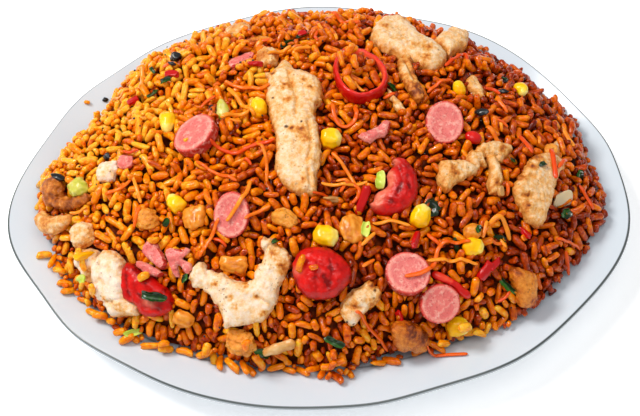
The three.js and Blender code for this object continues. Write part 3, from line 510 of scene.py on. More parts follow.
# Each slab: node; centre in mm, the way it faces, the radius it bows with; thickness and lift over
# the rice; how brown and how lumpy it is; its outline, its creases, its scorched spots and its black
# specks.
CHICKEN_SLABS = {
    "chicken_long_strip": dict(
        centre=(-10, 1, 71.5), facing=(-0.04, -0.02), bow=180, thickness=10, lift=3, brown=0.29,
        outline=[
            (-4, 37.5), (-1.5, 38.5), (0.5, 36), (2.5, 31.5), (5.5, 30), (9, 28), (12.5, 25), (14, 20),
            (14, 15), (13, 10.5), (10.5, 8.5), (9.5, 4.5), (9.5, 0.5), (10.5, -4), (10.5, -8.5),
            (10.5, -14), (10.5, -18.5), (9.5, -23.5), (7.5, -28.5), (7, -33.5), (6.5, -36.5), (5, -38),
            (3.5, -37.5), (1.5, -38), (-1.5, -37), (-5, -34.5), (-8, -31.5), (-9.5, -28), (-10.5, -23.5),
            (-10.5, -19), (-9.5, -15), (-9, -11), (-9.5, -5.5), (-10, -1), (-11, 4.5), (-11.5, 10.5),
            (-12, 16), (-11, 21), (-10.5, 26.5), (-12, 30.5), (-11.5, 31.5), (-9, 30.5), (-6.5, 34)],
        creases=[
            [(6.2, -3), (6.6, -14), (5.6, -19.5), (3, -24.5)], [(4, -28), (4.5, -36)],
            [(-1, 29), (2, 12), (1, 2)]],
        scorches=[
            (-2.5, 18.5, 2.8), (-2.5, 10.5, 1.6), (-2, -6.5, 1.5), (3, -7.5, 2.4), (4.2, -12, 1.8),
            (9, 16.5, 1.6), (1.5, -33, 1.6), (-8, 28.5, 1.6), (6, 22, 1.8)],
        specks=[(-9, 12.5, 0.8), (-4, -5.5, 1.5), (3, -3.5, 0.9), (-6.5, 7.5, 0.5), (-5, -28, 0.5)]),
    "chicken_twin_lobe": dict(
        centre=(52, 54, 58), facing=(0.12, 0.2), bow=400, thickness=10, lift=3, brown=0.28,
        outline=[
            (-21, 4), (-20, 9), (-17, 15), (-13, 19.5), (-8, 22), (-4, 20.5), (-0.5, 17.5), (1, 12),
            (2.5, 7.5), (5, 4), (8, 1.5), (11.5, -2), (14, -5.5), (15, -9), (13.5, -13), (11.5, -17.5),
            (8.5, -20), (5, -20.5), (1, -19.5), (-2, -16.5), (-4.5, -13.5), (-6.5, -12.5), (-8.5, -11.5),
            (-10, -9), (-11, -7.5), (-13, -6.5), (-15.5, -5), (-18.5, -1)],
        creases=[],
        scorches=[
            (5.5, -8, 2.6), (3.5, -15, 2.2), (-7, 20, 2.4), (-3, 16.5, 2.2), (-14, 9, 2),
            (-0.5, -7, 2.2)],
        specks=[(-10.5, 6.5, 0.6), (10, -10, 0.6)]),
    "chicken_back_chunk": dict(
        centre=(75, 60, 52), facing=(0.2, 0.15), bow=400, thickness=9, lift=2.5, brown=0.32,
        outline=[
            (-11.5, -0.5), (-8.5, 3.5), (-5.5, 5), (-3, 8.5), (-1, 8.5), (0, 7), (4, 7), (6, 5), (5, 0),
            (3, -5), (-0.5, -7.5), (-4.5, -11), (-7, -13), (-8.5, -8.5), (-11, -6), (-13, -3)],
        creases=[], scorches=[], specks=[]),
    "chicken_finger": dict(
        centre=(47, 28, 66), facing=(0.22, 0.18), bow=90, thickness=6, lift=2.6, brown=0.4,
        outline=[
            (-5.5, 8), (-5, 12.5), (-2, 16), (1, 17), (2, 12.5), (1, 5.5), (1.5, -0.5), (3, -7.5),
            (4.5, -11.5), (3.5, -16), (1.5, -17.5), (-0.5, -15.5), (-2.5, -12), (-4.5, -7), (-6, -1.5),
            (-6, 4)],
        creases=[[(-3, 14), (-2, 4), (0, -6)]],
        scorches=[(1, 11, 2), (1.5, 6, 2), (0, -10.5, 3), (1.5, -14, 3), (1, 0.5, 2)],
        specks=[(-3, 3, 0.5)]),
    "chicken_sliver": dict(
        centre=(38, 12, 69), facing=(0.14, 0.03), bow=400, thickness=3.5, lift=2, brown=0.24,
        outline=[
            (-3.5, 8), (-2.5, 6.5), (-1.5, 3.5), (0.5, 0.5), (2.5, -2.5), (3.5, -6), (1.5, -7),
            (-0.5, -6.5), (-2, -3), (-3, 1.5), (-3.5, 4.5)],
        creases=[], scorches=[], specks=[]),
    "chicken_bent_strip": dict(
        centre=(-37, -70, 50), facing=(-0.19, -0.57), bow=230, thickness=9, lift=3, brown=0.14,
        outline=[
            (-25, 7.5), (-23, 10.5), (-20, 12.5), (-18.5, 12.5), (-17.5, 10.5), (-17, 9), (-14, 8),
            (-10, 7), (-6.5, 4.5), (-3.5, 3), (0, 2.5), (2.5, 3), (4, 4), (4.5, 6.5), (6, 9), (8.5, 11),
            (9.5, 13.5), (9.5, 15), (8, 18), (8, 20.5), (9.5, 21.5), (12, 21), (14.5, 19.5), (15, 17.5),
            (17.5, 16.5), (19.5, 14.5), (21, 12), (20.5, 9), (18.5, 5), (16, 1.5), (14.5, -2), (13.5, -6),
            (12.5, -8.5), (11, -10), (10, -11.5), (7.5, -14.5), (4.5, -15.5), (0.5, -16), (-5, -16.5),
            (-8.5, -16.5), (-10.5, -17.5), (-11, -16), (-11, -14), (-11.5, -11), (-12, -8), (-14, -6),
            (-15, -3), (-17, -1), (-19.5, 1), (-21.5, 1.5), (-23.5, 1.5), (-23.5, 3.5), (-25, 5.5)],
        creases=[
            [(8.5, 14.5), (12, 18), (15.5, 18.5)], [(5.5, -4), (9.5, -6.5), (13, -9)],
            [(-16, 7), (-15, 1)]],
        scorches=[
            (-6.5, -3.5, 1.6), (-4.5, -7.5, 1.8), (0.5, 1.5, 1.6), (5, -3.5, 1.4), (14, 14.5, 2),
            (17, 10.5, 2.4), (-13, 3, 1.6), (8, -11, 1.8), (18, 7, 2)],
        specks=[
            (-21, 8, 0.5), (-8, -3, 0.6), (3, -3.5, 0.5), (12, 8, 0.5), (-3, -9, 0.4), (15, 12, 0.4)]),
    "chicken_right_slab": dict(
        centre=(100, -29, 51.5), facing=(0.39, -0.23), bow=80, thickness=6.5, lift=3, brown=0.35,
        outline=[
            (-3, 13.5), (1, 15.5), (4.5, 17), (9.5, 17), (13.5, 16), (16.5, 13), (15, 10.5), (11.5, 7),
            (8.5, 2.5), (6, -1.5), (4.5, -6.5), (3, -10), (0.5, -14.5), (-0.5, -17.5), (-2.5, -19.5),
            (-4, -20.5), (-7, -19), (-9.5, -18), (-11, -15), (-12.5, -11.5), (-13.5, -9), (-15, -6.5),
            (-15, -3.5), (-14.5, -1.5), (-13.5, 0.5), (-12, 3), (-10, 5), (-7.5, 7), (-6.5, 9.5)],
        creases=[[(-12, -6), (-7, -7)], [(-10, 3.5), (-5, 3)]], lumpy=0.35,
        scorches=[
            (-10, -11, 1.7), (-9, -6, 1.3), (-11, 2, 1.8), (-0.5, 13, 2.2), (6.5, 8.5, 2), (-5, 8, 1.6)],
        specks=[(-9.5, -11.5, 0.5), (-9, -6, 0.5)]),
    "chicken_forked_bite": dict(
        centre=(70, -22, 62), facing=(0.28, -0.16), bow=400, thickness=6.5, lift=2.4, brown=0.34,
        outline=[
            (-20, -8.5), (-19, -4), (-17.5, 0), (-14.5, 1), (-11.5, 1), (-8, 1), (-4.5, 1), (-4, 3.5),
            (-2, 6), (0.5, 7), (2, 8.5), (5, 10.5), (9, 12), (13, 12.5), (16.5, 11.5), (19, 10.5),
            (19.5, 8.5), (17, 6), (15.5, 3.5), (12.5, 1.5), (10.5, 2.5), (12, -1), (12, -5), (12, -9),
            (10.5, -12), (8.5, -14.5), (5.5, -15), (4.5, -13), (4, -9.5), (6, -6), (6.5, -1.5), (6, 1.5),
            (5.5, 4), (5, 4.5), (4, 3), (4.5, 0.5), (5.5, -1.5), (3.5, -1), (1.5, 0), (1, -3), (-0.5, -5),
            (-3.5, -6.5), (-7, -8.5), (-11, -10.5), (-14, -13), (-16.5, -15), (-17.5, -14),
            (-19, -11.5)],
        creases=[[(-5, 1), (-1, -2)], [(0, 6), (4, 6)], [(5.5, 4), (10, 4)]],
        scorches=[(-13, -6, 2.5), (8.5, -10, 2), (13.5, 7.5, 2.2)],
        specks=[(-12, -7, 0.6), (-9, -5, 0.5)]),
    "chicken_left_lump": dict(
        centre=(-99, -53, 36.5), facing=(-0.53, -0.53), bow=130, thickness=13, lift=2.5, brown=0.1,
        lumpy=1.7,
        outline=[
            (-17, 9), (-16.5, 11.5), (-13, 14.5), (-9, 15), (-5, 13.5), (-4, 11), (-2.5, 10.5),
            (-1.5, 13.5), (0, 14.5), (3, 13.5), (6, 12.5), (9, 10), (10, 6), (12, 0.5), (11.5, -4.5),
            (14, -8.5), (16.5, -11.5), (16.5, -15), (13, -15.5), (7.5, -16), (3, -16), (0.5, -14),
            (0, -11), (-1.5, -9), (-3.5, -8.5), (-5.5, -6), (-6, -3), (-6.5, -0.5), (-9, 0), (-11.5, 1.5),
            (-12.5, 5), (-15.5, 6.5)],
        creases=[
            [(-3.5, 11), (-5.5, 4), (-6, 0)], [(-2, -9), (5, -8), (13, -7)], [(0, 8), (1, 2)],
            [(6, -9), (8, -15)]],
        scorches=[(3, -6.5, 1.5), (-6, 6, 1.4), (9.5, -11, 2.2), (-8, 2.5, 1.4)],
        specks=[(-2, 5, 0.5), (0, -1, 0.5), (2, -12, 0.5)]),
    "chicken_bean": dict(
        centre=(12, -80, 46.5), facing=(0.12, -0.67), bow=120, thickness=9, lift=2.8, brown=0.26,
        outline=[
            (-9.5, -2), (-8.5, 1.5), (-6, 4), (-3.5, 6), (-0.5, 7), (2.5, 8.5), (4.5, 10), (5.5, 9.5),
            (7, 7), (9.5, 5.5), (9.5, 3.5), (8.5, 1), (6.5, -0.5), (4, -2), (2, -3.5), (-0.5, -5.5),
            (-2, -7.5), (-3.5, -9), (-5.5, -9), (-7.5, -7), (-9, -4.5)],
        creases=[[(-7, 0.5), (-1, -1)]],
        scorches=[(-3.5, 0.5, 1.6), (5, 8.5, 1.6), (8, 3, 2.6), (4, 1.5, 2), (1, -4, 1.4)],
        specks=[(5.8, 6.2, 1), (5, 3, 0.6), (-4.5, -8, 0.7)]),
}
BROWNED_SLABS = {
    "chicken_front_cube": dict(
        centre=(33, -88, 30), facing=(0.19, -0.9), bow=400, thickness=9, lift=3, brown=0.58, lumpy=0.4,
        outline=[
            (-8.5, 7), (-6, 9), (-2.5, 8.5), (1.5, 7), (4.5, 4.5), (7.5, 0.5), (9, -3.5), (8.5, -7),
            (6.5, -9), (2.5, -8.5), (-0.5, -6.5), (-3.5, -6.5), (-6.5, -4.5), (-7.5, -0.5), (-8.5, 3.5)],
        creases=[], scorches=[(0, 5, 3), (5, 0, 3)], specks=[(3, 3, 0.5)]),
    "chicken_right_block": dict(
        centre=(88, -71, 35.5), facing=(0.37, -0.69), bow=60, thickness=8, lift=3, brown=0.5, lumpy=0.3,
        outline=[
            (-8.5, 7.5), (-6.5, 10), (-3.5, 9), (0.5, 7), (4, 5.5), (4.5, 1), (4, -5.5), (2.5, -9.5),
            (-1.5, -9.5), (-4.5, -8.5), (-6, -4), (-7.5, 2)],
        creases=[], scorches=[(-6, 8, 1.5), (1, -6, 2)], specks=[]),
}


def radii_from(places, u, v, radius):
    """Squared distance of each place from a spot, in radii of the spot."""
    return ((places[:, 0] - u) ** 2 + (places[:, 1] - v) ** 2) / radius ** 2


def torn_slab(name, thickness, outline, creases, scorches, specks, brown, centre, facing, bow, lift,
              lumpy=0.7):
    """A piece of chicken torn to an outline, wrinkled, scorched and laid on the heap."""
    piece, places, inward = slab(name, thickness, outline, thickness * 0.55, 0.9)
    seed = len(name) * 3.1
    swell = lumpy * (lumps(places, LUMP_SIZE, seed) - 0.5)
    wrinkles = 0.42 * waves(places, (1.6, 3.6, 3), seed) + 0.25 * waves(places, (0.8, 1.0, 1.0), seed)
    folds = sum(1.3 * np.exp(-(from_lines(places, crease) / CREASE) ** 2) for crease in creases)
    upper = np.clip(places[:, 2] * 0.6, -1, 1)
    places[:, 2] += (swell + wrinkles - folds) * upper
    spots = sum(np.exp(-radii_from(places, *scorch)) for scorch in scorches)
    mottle = 0.42 + 0.5 * waves(places, (1.3, 1.3, 1.3), seed + 9)
    patches = waves(places, (5, 5, 5), seed + 7) + 0.8 * waves(places, (1.6, 1.6, 1.6), seed)
    edges = np.exp(-inward / FRINGE)
    # The browning is lighter on the swellings and deeper in the folds, as painted light and shade of the
    # relief; the patches, edges and scorches are the meat's own browning.
    browning = brown - 0.04 + 0.1 * patches - 0.14 * swell + 0.22 * edges + 0.1 * folds + spots * mottle
    black = sum(np.clip(1.5 - 2.6 * radii_from(places, *speck), 0, 1) for speck in specks)
    set_attribute(piece.data, "browning", browning)
    set_attribute(piece.data, "speck", black + np.zeros(len(places)))
    lay_slab(piece, places, centre, facing, bow, lift)
    return piece


def softened(node_name, voxel, rounds, rounder=0):
    """A finer, rounded copy of a food solid, as a new object."""
    return evened(object_from(merged_copy(node_name), node_name + "_cooked"), voxel, rounds, rounder)


def own_axes(places):
    """Middle of a piece and its own axes, the longest first."""
    middle = places.mean(0)
    _, axes = np.linalg.eigh(np.cov((places - middle).T))
    return middle, axes[:, ::-1]


def above_rice(places):
    """How far each place lies above the level of the rice, in metres."""
    i = np.clip(np.round((places[:, 0] + MAP_HALF.x) / CELL).astype(int), 0, len(map_x) - 1)
    j = np.clip(np.round((places[:, 1] + MAP_HALF.y) / CELL).astype(int), 0, len(map_y) - 1)
    return places[:, 2] - heap_top[i, j]


def move_out(mesh, places, normals, amounts):
    """Moves each vertex out along its normal."""
    mesh.vertices.foreach_set("co", (places + normals * amounts[:, None]).ravel())
    mesh.update()


# Each small piece: node, how brown it is, and the height in mm of its lumps and of its fibres.
CHICKEN_BITS = [
    ("chicken_back_cube", 0.48, 0.3, 0.6), ("chicken_fibrous_bite", 0.52, 0.4, 0.8),
    ("chicken_golden_wedge", 0.5, 0.3, 0.5), ("chicken_pale_cube", 0.1, 0.2, 0.7),
]
BROWNED_BITS = [("chicken_charred_curl", 0.78, 0.6, 0.8), ("chicken_golden_ball", 0.46, 0.6, 0.6)]
SAUCED_BITS = [
    ("chicken_browned_scrap", 0.6, 0.8, 0.9), ("chicken_right_scrap", 0.5, 0.8, 0.9),
    ("chicken_middle_scrap", 0.42, 0.8, 0.9), ("chicken_left_scrap", 0.5, 0.9, 0.9),
    ("chicken_front_nugget", 0.42, 1.3, 0.9),
]
FIBRE_SIZES = (6 * MM, 1.5 * MM, 1.5 * MM)  # along and across the piece
# Near the rice a piece is browner and more orange: partly sauce stain, partly painted shade and a painted
# orange reflection of the rice.
SAUCE_AND_SHADE_REACH = 2.5 * MM  # how far the sauce climbs up a piece from the rice


def fried_bit(node_name, browning, lump_height, fibre_height):
    """A small piece of chicken: its solid made lumpy, fibrous, pitted and unevenly brown."""
    piece = softened(node_name, 0.5 * MM, 5)
    places, normals = arrays_of(piece.data)
    middle, axes = own_axes(places)
    own = (places - middle) @ axes
    seed = middle[0] / MM
    swell = lump_height * (lumps(places, 3.4 * MM, seed) - 0.3)
    swell = swell + 0.8 * waves(places, (5 * MM,) * 3, seed + 4) + 0.3
    fibres = fibre_height * waves(own, FIBRE_SIZES, seed)
    pits = 0.2 * waves(places, (0.9 * MM,) * 3, seed)
    move_out(piece.data, places, normals, (swell + fibres + pits) * MM)
    scorch = waves(places, (6 * MM,) * 3, seed + 7) + 0.6 * waves(places, (2 * MM,) * 3, seed)
    # Browner and more orange towards the rice, as sauce stain with painted shade and reflection of the rice;
    # lighter on the swellings, as painted light.
    sauce_and_shade = np.clip(1 - above_rice(places) / SAUCE_AND_SHADE_REACH, 0, 1)
    set_attribute(piece.data, "browning", browning + 0.22 * scorch + 0.25 * sauce_and_shade ** 1.5 - 0.15 * swell)
    set_attribute(piece.data, "speck", np.zeros(len(places)))
    return piece


def chicken_meat(name, stops, roughness, see_through):
    """Fried chicken breast: its colour follows how brown it is, with flecks of ground pepper."""
    made, tree = new_material(name)
    place = node(tree, "ShaderNodeTexCoord").outputs["Object"]
    browning = node(tree, "ShaderNodeAttribute", attribute_name="browning").outputs["Fac"]
    mottle = node(tree, "ShaderNodeTexNoise", {
        "Vector": place, "Scale": repeats(2.381), "Detail": 5.0, "Roughness": 0.75})
    uneven = node(tree, "ShaderNodeMath", {0: mottle.outputs["Fac"], 1: 0.5}, operation="SUBTRACT")
    deeper = node(tree, "ShaderNodeMath", {
        0: uneven.outputs[0], 1: 1.1, 2: browning}, operation="MULTIPLY_ADD")
    flesh = node(tree, "ShaderNodeValToRGB", {"Fac": deeper.outputs[0]}, stops=stops)
    grit = node(tree, "ShaderNodeTexVoronoi", {"Vector": place, "Scale": repeats(1.613), "Randomness": 1.0})
    rare = node(tree, "ShaderNodeTexNoise", {"Vector": place, "Scale": repeats(3.846), "Detail": 0.0})
    dot = node(tree, "ShaderNodeMapRange", {
        "Value": grit.outputs["Distance"], "From Min": 0.16, "From Max": 0.3, "To Min": 0.6, "To Max": 0.0})
    where = node(tree, "ShaderNodeMapRange", {
        "Value": rare.outputs["Fac"], "From Min": 0.58, "From Max": 0.64})
    pepper = node(tree, "ShaderNodeMath", {0: dot.outputs[0], 1: where.outputs[0]}, operation="MULTIPLY")
    peppered = node(tree, "ShaderNodeMix", {
        "Factor": pepper.outputs[0], 6: flesh.outputs["Color"], 7: srgb("#8a5526")}, data_type="RGBA")
    speck = node(tree, "ShaderNodeAttribute", attribute_name="speck").outputs["Fac"]
    skin = node(tree, "ShaderNodeMix", {
        "Factor": speck, 6: peppered.outputs[2], 7: srgb("#45200c")}, data_type="RGBA")
    bump = node(tree, "ShaderNodeBump", {
        "Height": mottle.outputs["Fac"], "Strength": 0.9, "Distance": 0.8 * MM})
    shader = node(tree, "ShaderNodeBsdfPrincipled", {
        "Base Color": skin.outputs[2], "Normal": bump.outputs["Normal"], "Roughness": roughness, "IOR": 1.4,
        "Subsurface Weight": see_through, "Subsurface Radius": (1.0, 0.5, 0.25),
        "Subsurface Scale": 1.2 * MM})
    node(tree, "ShaderNodeOutputMaterial", {"Surface": shader.outputs[0]})
    return made


# Seared chicken breast: cream flesh, golden to brown where it touched the pan, with a thin film of
# oil that gives soft highlights, fine wrinkles, and flecks of ground pepper.
seared_chicken = chicken_meat("seared_chicken", [
    (0.0, "#f8e2cc"), (0.22, "#f1ca9a"), (0.42, "#e6a350"), (0.62, "#ca701a"), (0.95, "#7a3208")
], roughness=0.34, see_through=0.2)
# Chicken glazed all over with the sauce: amber, wet and a little see-through.
sauced_chicken = chicken_meat("sauced_chicken", [
    (0.0, "#f4b868"), (0.3, "#ec9c34"), (0.55, "#d87e1c"), (0.75, "#b8580c"), (1.0, "#702c06")
], roughness=0.22, see_through=0.4)

# Two thin scraps that are too small for solids of their own.
SCRAPS = {
    "chicken_beige_scrap": dict(
        centre=(79, 26, 58.5), facing=(0.2, 0.18), bow=400, thickness=4, lift=1.8, brown=0.36,
        outline=[
            (-5, 3.5), (-2, 7), (0.5, 5), (2.5, -4), (1.5, -10.5), (-1, -8.5), (-3.5, -4.5), (-5.5, -2)],
        creases=[], scorches=[], specks=[]),
    "chicken_corner_scrap": dict(
        centre=(113, -5, 47), facing=(0.43, 0.05), bow=400, thickness=4, lift=1.8, brown=0.3,
        outline=[(-4, 0), (0, 3.5), (1, 0), (-0.5, -5), (-5, -5)], creases=[], scorches=[], specks=[]),
}
toppings = []


def add_topping(piece, material, slot, node_name):
    """Hands a piece over and keeps it, for the rice to be laid round it."""
    hand_over(piece, material, slot, node_name)
    toppings.append(piece)


for scrap, looks in SCRAPS.items():
    add_topping(torn_slab(scrap, **looks), seared_chicken, "chicken", "rice_heap")
for pieces, meat, slot in ((CHICKEN_SLABS, seared_chicken, "chicken"),
                           (BROWNED_SLABS, sauced_chicken, "browned_chicken")):
    for node_name, looks in pieces.items():
        add_topping(torn_slab(node_name, **looks), meat, slot, node_name)
for pieces, meat, slot in ((CHICKEN_BITS, seared_chicken, "chicken"),
                           (BROWNED_BITS, seared_chicken, "browned_chicken"),
                           (SAUCED_BITS, sauced_chicken, "browned_chicken")):
    for node_name, *looks in pieces:
        add_topping(fried_bit(node_name, *looks), meat, slot, node_name)

# ---- sausage ----
# Cooked frankfurter: pink, finely minced, cut across into discs about 4.5 mm thick, some torn or
# halved, and the rounded ends left with their smoked red skin outside.
SLICES = ["sausage_slice_left", "sausage_slice_right", "sausage_slice_lower", "sausage_slice_front",
          "sausage_slice_middle"]
SAUSAGE_BITS = ["sausage_back_strip", "sausage_far_left_bit"]
# Halved and torn slices, as the slabs of chicken, each with the line along which it has its skin.
TORN_SLICES = {
    "sausage_half_high": dict(
        centre=(-77, -49.5, 51), facing=(-0.41, -0.36), bow=400, thickness=5, lift=2.5,
        outline=[
            (-4.5, 1), (-3.5, 4), (-1.5, 5.5), (0.5, 5), (2.5, 4), (4.5, 0.5), (6, -2.5), (7, -6.5),
            (4.5, -8), (2.5, -6.5), (0, -4), (-2, -2)],
        rind=[(0.5, 5), (2.5, 4), (4.5, 0.5), (6, -2.5), (7, -6.5), (4.5, -8)]),
    "sausage_half_low": dict(
        centre=(-79.5, -55, 47.5), facing=(-0.38, -0.37), bow=400, thickness=5, lift=2.8,
        outline=[
            (-4.5, 3.5), (-3, 3.5), (1.5, 1.5), (5, -1), (7.5, -3.5), (5.5, -5), (0, -3), (-3, -0.5),
            (-5, 1)],
        rind=[(7.5, -3.5), (5.5, -5)]),
    "sausage_torn_bit": dict(
        centre=(-66.5, -54.5, 53), facing=(-0.27, -0.52), bow=400, thickness=4, lift=2.5,
        outline=[
            (-4.5, 4), (-4, 5), (-2, 5), (0, 4.5), (3.5, 3.5), (5, 4.5), (6.5, 3.5), (5, 1.5), (2.5, 0),
            (4.5, -1), (6.5, -2.5), (7, -5), (5, -7), (3, -5.5), (1.5, -2.5), (0, -3), (1, -8),
            (-0.5, -8), (-2, -5), (-3.5, -1.5), (-4.5, 1.5)],
        rind=[(0, 4.5), (3.5, 3.5)]),
    "sausage_ragged_bit": dict(
        centre=(27, -4, 71), facing=(0.07, 0.02), bow=400, thickness=3.5, lift=2.5,
        outline=[
            (-9.5, -5), (-7, -4), (-3, -2.5), (0, -0.5), (3, 2), (4, 3), (6.5, 2), (6, 0), (4.5, -4),
            (3, -6), (0.5, -6), (-2, -7.5), (-4, -9.5), (-6, -8.5), (-7.5, -7)],
        rind=[(6.5, 2), (4.5, -4)]),
}
CUT_EDGE = 0.9 * MM  # rounding of a slice's edge
CUT_RINGS = (0.15, 0.2, 0.25, 0.3)  # insets of the cut face, from its edge inwards


def cut_slice(node_name):
    """A disc of sausage with a rounded, slightly uneven edge and a softly dished cut face."""
    places, _ = arrays_of(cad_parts[node_name].data)
    places = np.unique(places.round(6), axis=0)
    middle, axes = own_axes(places)
    if axes[2, 2] < 0:
        axes[:, 2] *= -1
    if np.linalg.det(axes) < 0:
        axes[:, 1] *= -1
    half = np.abs((places - middle) @ axes).max(0)
    form = bmesh.new()
    bmesh.ops.create_circle(form, cap_ends=True, segments=40, radius=1)
    bmesh.ops.scale(form, vec=(half[0], half[1], 1), verts=form.verts)
    bmesh.ops.translate(form, vec=(0, 0, half[2]), verts=form.verts)
    side = bmesh.ops.extrude_face_region(form, geom=form.faces[:])["geom"]
    lower = [item for item in side if isinstance(item, bmesh.types.BMVert)]
    bmesh.ops.translate(form, vec=(0, 0, -2 * half[2]), verts=lower)
    rims = [edge for edge in form.edges if abs(edge.verts[0].co.z - edge.verts[1].co.z) < 1e-6]
    bmesh.ops.bevel(form, geom=rims, offset=CUT_EDGE, segments=3, affect="EDGES", profile=0.5, material=-1)
    for face in sorted(form.faces, key=lambda each: -each.calc_area())[:2]:
        for share in CUT_RINGS:
            bmesh.ops.inset_region(form, faces=[face], thickness=half[1] * share * 0.9)
    bmesh.ops.recalc_face_normals(form, faces=form.faces)
    piece = object_from(form, node_name + "_cut")
    places, normals = arrays_of(piece.data)
    out = np.hypot(places[:, 0] / half[0], places[:, 1] / half[1])
    seed = middle[0] / MM
    uneven = 0.35 * waves(places, (7 * MM, 7 * MM, 20 * MM), seed) - 0.3 * (1 - out) * (places[:, 2] > 0)
    move_out(piece.data, places, normals, uneven * MM)
    set_attribute(piece.data, "rim", out)
    turned = Matrix(axes.tolist()).to_4x4()
    piece.data.transform(Matrix.Translation(Vector(middle)) @ turned)
    return rounded(piece, 1)


def torn_slice(node_name, thickness, outline, rind, centre, facing, bow, lift):
    """Part of a slice, torn to an outline, pale where it tore and red along its skin."""
    piece, places, inward = slab(node_name, thickness, outline, 1.5, 0.6)
    seed = len(node_name) * 1.3
    places[:, 2] += np.clip(places[:, 2], 0, 1) * (0.9 * waves(places, (3.5, 3.5, 3.5), seed)
                                                   + 0.3 * waves(places, (1.2, 1.2, 1.2), seed))
    skinned = np.clip(1.5 - from_lines(places, rind) / 1.1, 0, 1)
    set_attribute(piece.data, "rim", np.maximum(0.5 + 0.38 * np.exp(-inward / FRINGE), skinned))
    lay_slab(piece, places, centre, facing, bow, lift)
    return piece


def sausage_bit(node_name):
    """A small torn part of a slice."""
    piece = softened(node_name, 0.45 * MM, 3)
    places, normals = arrays_of(piece.data)
    middle, axes = own_axes(places)
    own = (places - middle) @ axes
    out = np.hypot(own[:, 0] / np.abs(own[:, 0]).max(), own[:, 1] / np.abs(own[:, 1]).max())
    seed = middle[0] / MM
    ragged = (0.2 + 0.5 * waves(places, (2.5 * MM,) * 3, seed)) * np.clip(out, 0.2, 1)
    move_out(piece.data, places, normals, ragged * MM)
    set_attribute(piece.data, "rim", np.clip(out * 0.93, 0, 1))
    return piece


# Emulsion sausage: salmon pink, dotted with darker and paler specks of spice and fat about half a
# millimetre wide, with a paler ring under the skin and a red skin at the very edge; moist.
sausage_meat, tree = new_material("sausage_meat")
place = node(tree, "ShaderNodeTexCoord").outputs["Object"]
rim = node(tree, "ShaderNodeAttribute", attribute_name="rim").outputs["Fac"]
meat = node(tree, "ShaderNodeValToRGB", {"Fac": rim}, stops=[
    (0.0, "#e4786e"), (0.7, "#dc6a64"), (0.88, "#ee9888"), (0.95, "#d44034"),
    (1.0, "#bc2c22")])
minced = node(tree, "ShaderNodeTexNoise", {"Vector": place, "Scale": repeats(1.111), "Detail": 2.0})
spots = node(tree, "ShaderNodeMapRange", {
    "Value": minced.outputs["Fac"], "From Min": 0.58, "From Max": 0.7, "To Max": 0.8})
patches = node(tree, "ShaderNodeTexNoise", {
    "Vector": place, "Scale": repeats(2.6316), "Detail": 3.0, "Roughness": 0.7})
pale = node(tree, "ShaderNodeMapRange", {
    "Value": patches.outputs["Fac"], "From Min": 0.5, "From Max": 0.7, "To Max": 0.8})
fat = node(tree, "ShaderNodeMix", {
    "Factor": pale.outputs[0], 6: meat.outputs["Color"], 7: srgb("#f5b8a6")}, data_type="RGBA")
spiced = node(tree, "ShaderNodeMix", {
    "Factor": spots.outputs[0], 6: fat.outputs[2], 7: srgb("#c2504a")}, data_type="RGBA")
bump = node(tree, "ShaderNodeBump", {
    "Height": patches.outputs["Fac"], "Strength": 0.7, "Distance": 1.0 * MM})
shader = node(tree, "ShaderNodeBsdfPrincipled", {
    "Base Color": spiced.outputs[2], "Normal": bump.outputs["Normal"], "Roughness": 0.26, "IOR": 1.4,
    "Subsurface Weight": 0.2, "Subsurface Radius": (1.0, 0.3, 0.2), "Subsurface Scale": 1.2 * MM})
node(tree, "ShaderNodeOutputMaterial", {"Surface": shader.outputs[0]})
for node_name in SLICES:
    add_topping(cut_slice(node_name), sausage_meat, "sausage", node_name)
for node_name, looks in TORN_SLICES.items():
    add_topping(torn_slice(node_name, **looks), sausage_meat, "sausage", node_name)
for node_name in SAUSAGE_BITS:
    add_topping(sausage_bit(node_name), sausage_meat, "sausage", node_name)


# The ends and the bulging cut: each as its centre in mm, the way it faces, the radius it bows with,
# thickness, width of its rounded edge and lift over the rice; then its outline.
SMOKED_ENDS = {
    "sausage_end_front": dict(
        centre=(-4, -69.5, 55.5), facing=(-0.06, -0.45), bow=70, thickness=17, edge=13, lift=4.5,
        outline=[
            (-12.5, 2), (-12, 5.5), (-10.5, 8.5), (-8, 11), (-5.5, 12), (-2, 12), (1.5, 11.5), (5, 10.5),
            (8, 8), (10.5, 5.5), (12.5, 3), (13, 0.5), (13, -2), (12, -4.5), (10.5, -6.5), (9, -8),
            (6, -10), (3.5, -11), (0, -11.5), (-3, -11), (-6, -10.5), (-8.5, -8.5), (-10.5, -6),
            (-11.5, -3.5), (-12, -1)]),
    "sausage_end_left": dict(
        centre=(-82, -63, 41), facing=(-0.39, -0.59), bow=60, thickness=8, edge=4, lift=2.5,
        outline=[
            (-12, 4.5), (-11, 8), (-10, 11), (-8, 13.5), (-5, 13), (-2, 10), (1.5, 8.5), (5, 7),
            (7.5, 4.5), (10.5, 2), (12.5, -1), (13.5, -4.5), (13, -7.5), (10.5, -9.5), (7.5, -10.5),
            (3.5, -11), (0, -10.5), (-2.5, -9), (-3.5, -6), (-5, -4.5), (-7.5, -4), (-10, -2.5),
            (-11.5, 0.5)]),
    "sausage_end_curved": dict(
        centre=(33, -34.5, 67), facing=(0.0, -0.4), bow=60, thickness=12, edge=7, lift=3,
        outline=[
            (-1.5, 11.5), (-0.5, 13), (1.5, 13.5), (3.5, 13), (5.5, 11.5), (7, 9), (8.5, 6), (9, 2.5),
            (9, -0.5), (8.5, -3.5), (7.5, -6.5), (5, -9), (2.5, -11), (-0.5, -12.5), (-3.5, -13),
            (-6.5, -13), (-9.5, -12), (-11.5, -10.5), (-12.5, -9), (-13.5, -7), (-11, -6), (-11, -4),
            (-10, -2.5), (-8, -1.5), (-5.5, -0.5), (-4.5, 0.5), (-4.5, 2.5), (-4.5, 5), (-3.5, 7),
            (-2, 8.5), (-0.5, 9.5), (-0.5, 10.5)]),
}
